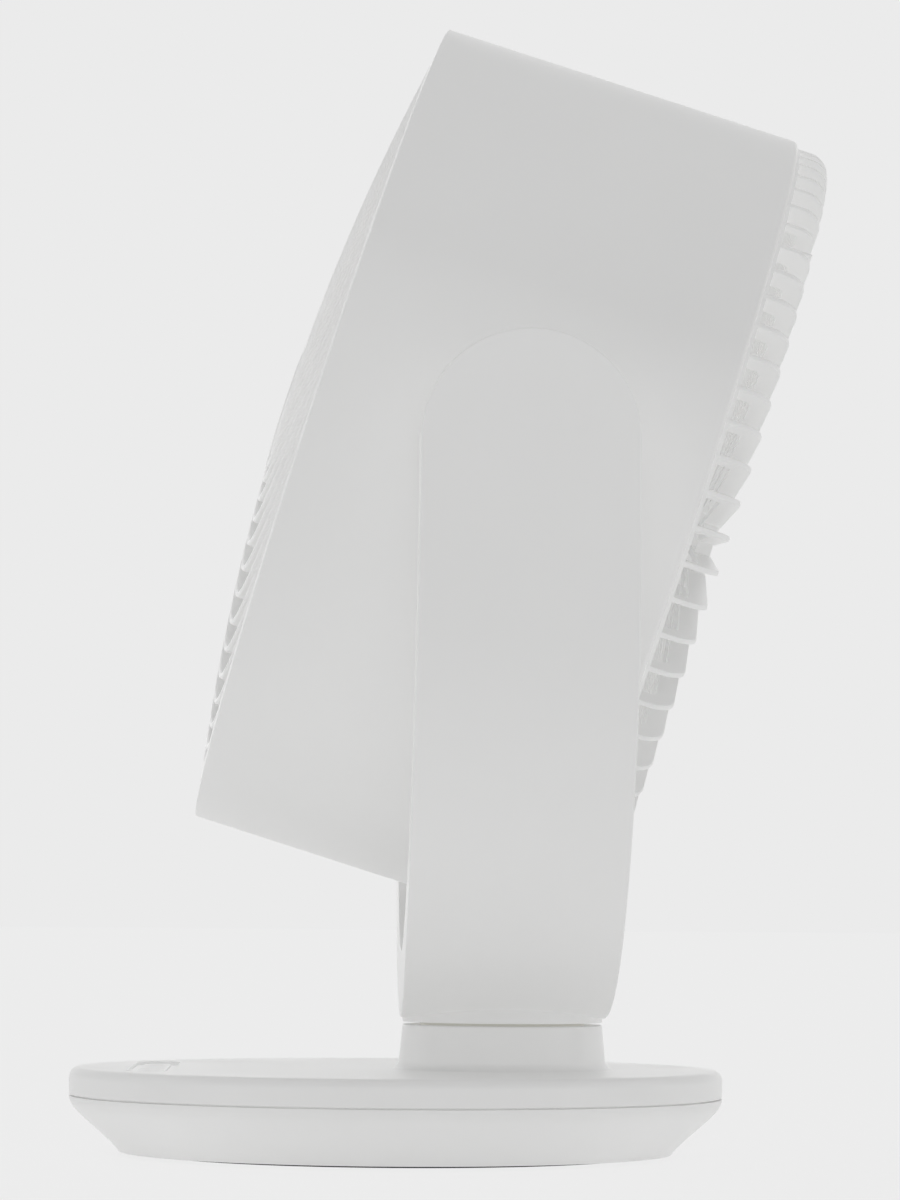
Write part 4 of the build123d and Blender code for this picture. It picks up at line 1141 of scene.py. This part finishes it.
# ---------------------------------------------------------------- studio
@dataclass
class Studio:
    """The camera, the soft light, the pale floor and the surround."""

    focal_pixels: float = 4400.6
    frame_height: float = 1200.0
    camera_at: tuple[float, float, float] = (1.4060, -0.0222, 0.0737)
    yaw: float = -1.559
    pitch: float = 4.188
    roll: float = 0.434
    backdrop: float = 0.831       # the flat pale grey behind the fan
    zenith: float = 0.86          # the surround's light overhead
    horizon: float = 0.0          # and level with the fan
    floor_colour: float = 0.9
    floor_size: float = 80.0
    shadow_share: float = 0.12    # how much of the floor's own light and shadow the camera sees
    side_fill: float = 0.56       # strength of each of the four level lights round the fan
    low_fill: float = 0.95        # of each of the four that rise towards it
    low_rise: float = 40.0
    table_fill: float = 0.90      # and of the one that comes up through the table

    def build(self) -> None:
        """Makes everything round the fan."""
        self.camera()
        self.floor()
        self.surround()
        rise = radians(self.low_rise)
        for name, x, y in (("right", -1, 0), ("left", 1, 0), ("front", 0, 1), ("rear", 0, -1)):
            self.fill(f"{name} fill", self.side_fill, Vector((x, y, 0)), 60)
            self.fill(f"low {name} fill", self.low_fill, Vector((x * cos(rise), y * cos(rise), sin(rise))), 60)
        self.fill("table fill", self.table_fill, Vector((0, 0, 1)), 90)
        bpy.context.scene.view_settings.view_transform = "Standard"

    def camera(self) -> None:
        """Sets the camera at the photograph's viewpoint."""
        yaw, pitch, roll = radians(self.yaw), radians(self.pitch), radians(self.roll)
        ahead = Vector((-cos(pitch) * cos(yaw), -cos(pitch) * sin(yaw), sin(pitch)))
        right = ahead.cross(Vector((0, 0, 1))).normalized()
        up = right.cross(ahead)
        across = right * cos(roll) + up * sin(roll)
        upward = up * cos(roll) - right * sin(roll)
        data = bpy.data.cameras.new("camera")
        data.sensor_width = 36
        data.lens = self.focal_pixels * data.sensor_width / self.frame_height
        camera = bpy.data.objects.new("camera", data)
        axes = Matrix((across, upward, -ahead)).transposed().to_4x4()
        camera.matrix_world = Matrix.Translation(self.camera_at) @ axes
        bpy.context.scene.collection.objects.link(camera)
        bpy.context.scene.camera = camera

    def seen(self, tree: bpy.types.NodeTree) -> bpy.types.NodeSocket:
        """One for rays that show the background: straight, mirrored or through glass; else nought."""
        rays = put(tree, "LightPath")
        total = rays.outputs["Is Camera Ray"]
        for kind in ("Is Glossy Ray", "Is Transmission Ray"):
            both = put(tree, "Math", total, rays.outputs[kind])
            both.operation = "MAXIMUM"
            total = both.outputs[0]
        return total

    def floor(self) -> None:
        """A wide pale floor that keeps a faint shadow and lets the table light through."""
        bm = bmesh.new()
        bmesh.ops.create_grid(bm, x_segments=4, y_segments=4, size=self.floor_size / 2)
        mesh = bpy.data.meshes.new("floor")
        bm.to_mesh(mesh)
        bm.free()
        floor = bpy.data.objects.new("floor", mesh)
        bpy.context.scene.collection.objects.link(floor)
        material = bpy.data.materials.new("pale floor")
        material.use_nodes = True
        tree = material.node_tree
        tree.nodes.clear()
        matt = put(tree, "BsdfDiffuse", grey(self.floor_colour))
        lit = self.floor_colour * (self.zenith + (self.horizon - self.zenith) / 3)
        glow = put(tree, "Emission", grey((self.backdrop - self.shadow_share * lit) / (1 - self.shadow_share)))
        share = put(tree, "Math", self.seen(tree), 1 - self.shadow_share)
        share.operation = "MULTIPLY"
        mix = put(tree, "MixShader", share.outputs[0], matt.outputs[0], glow.outputs[0])
        put(tree, "OutputMaterial", mix.outputs[0])
        mesh.materials.append(material)
        floor.visible_shadow = False

    def surround(self) -> None:
        """Soft light from overhead that fades towards the horizon, and flat pale grey where it is seen."""
        world = bpy.data.worlds.new("studio")
        bpy.context.scene.world = world
        world.use_nodes = True
        tree = world.node_tree
        tree.nodes.clear()
        split = put(tree, "SeparateXYZ", put(tree, "TexCoord").outputs["Generated"])
        ramp = put(tree, "MapRange", Value=split.outputs["Z"], To_Min=self.horizon, To_Max=self.zenith)
        light = put(tree, "Background", grey(1), ramp.outputs["Result"])
        flat = put(tree, "Background", grey(self.backdrop))
        mix = put(tree, "MixShader", self.seen(tree), light.outputs[0], flat.outputs[0])
        put(tree, "OutputWorld", mix.outputs[0])

    def fill(self, name: str, strength: float, towards: Vector, spread: float) -> None:
        """A very broad light that fills the shadows evenly and casts none.

        Args:
            name: The lamp's name.
            strength: How bright it is.
            towards: The way it shines.
            spread: How broad it is, in degrees.
        """
        data = bpy.data.lights.new(name, "SUN")
        data.energy = strength
        data.angle = radians(spread)
        data.use_shadow = False
        lamp = bpy.data.objects.new(name, data)
        lamp.rotation_euler = towards.to_track_quat("-Z", "Y").to_euler()
        bpy.context.scene.collection.objects.link(lamp)


def main() -> None:
    """Builds the fan and its studio in order."""
    logging.basicConfig(level=logging.INFO, format="%(message)s")
    Studio().build()
    bench = Bench()
    bench.dress_remaining()
    for part in (Base(), Yoke(), Drum(), FrontGrille(), RearGrille(), Impeller()):
        part.build(bench)


if __name__ == "__main__":
    main()
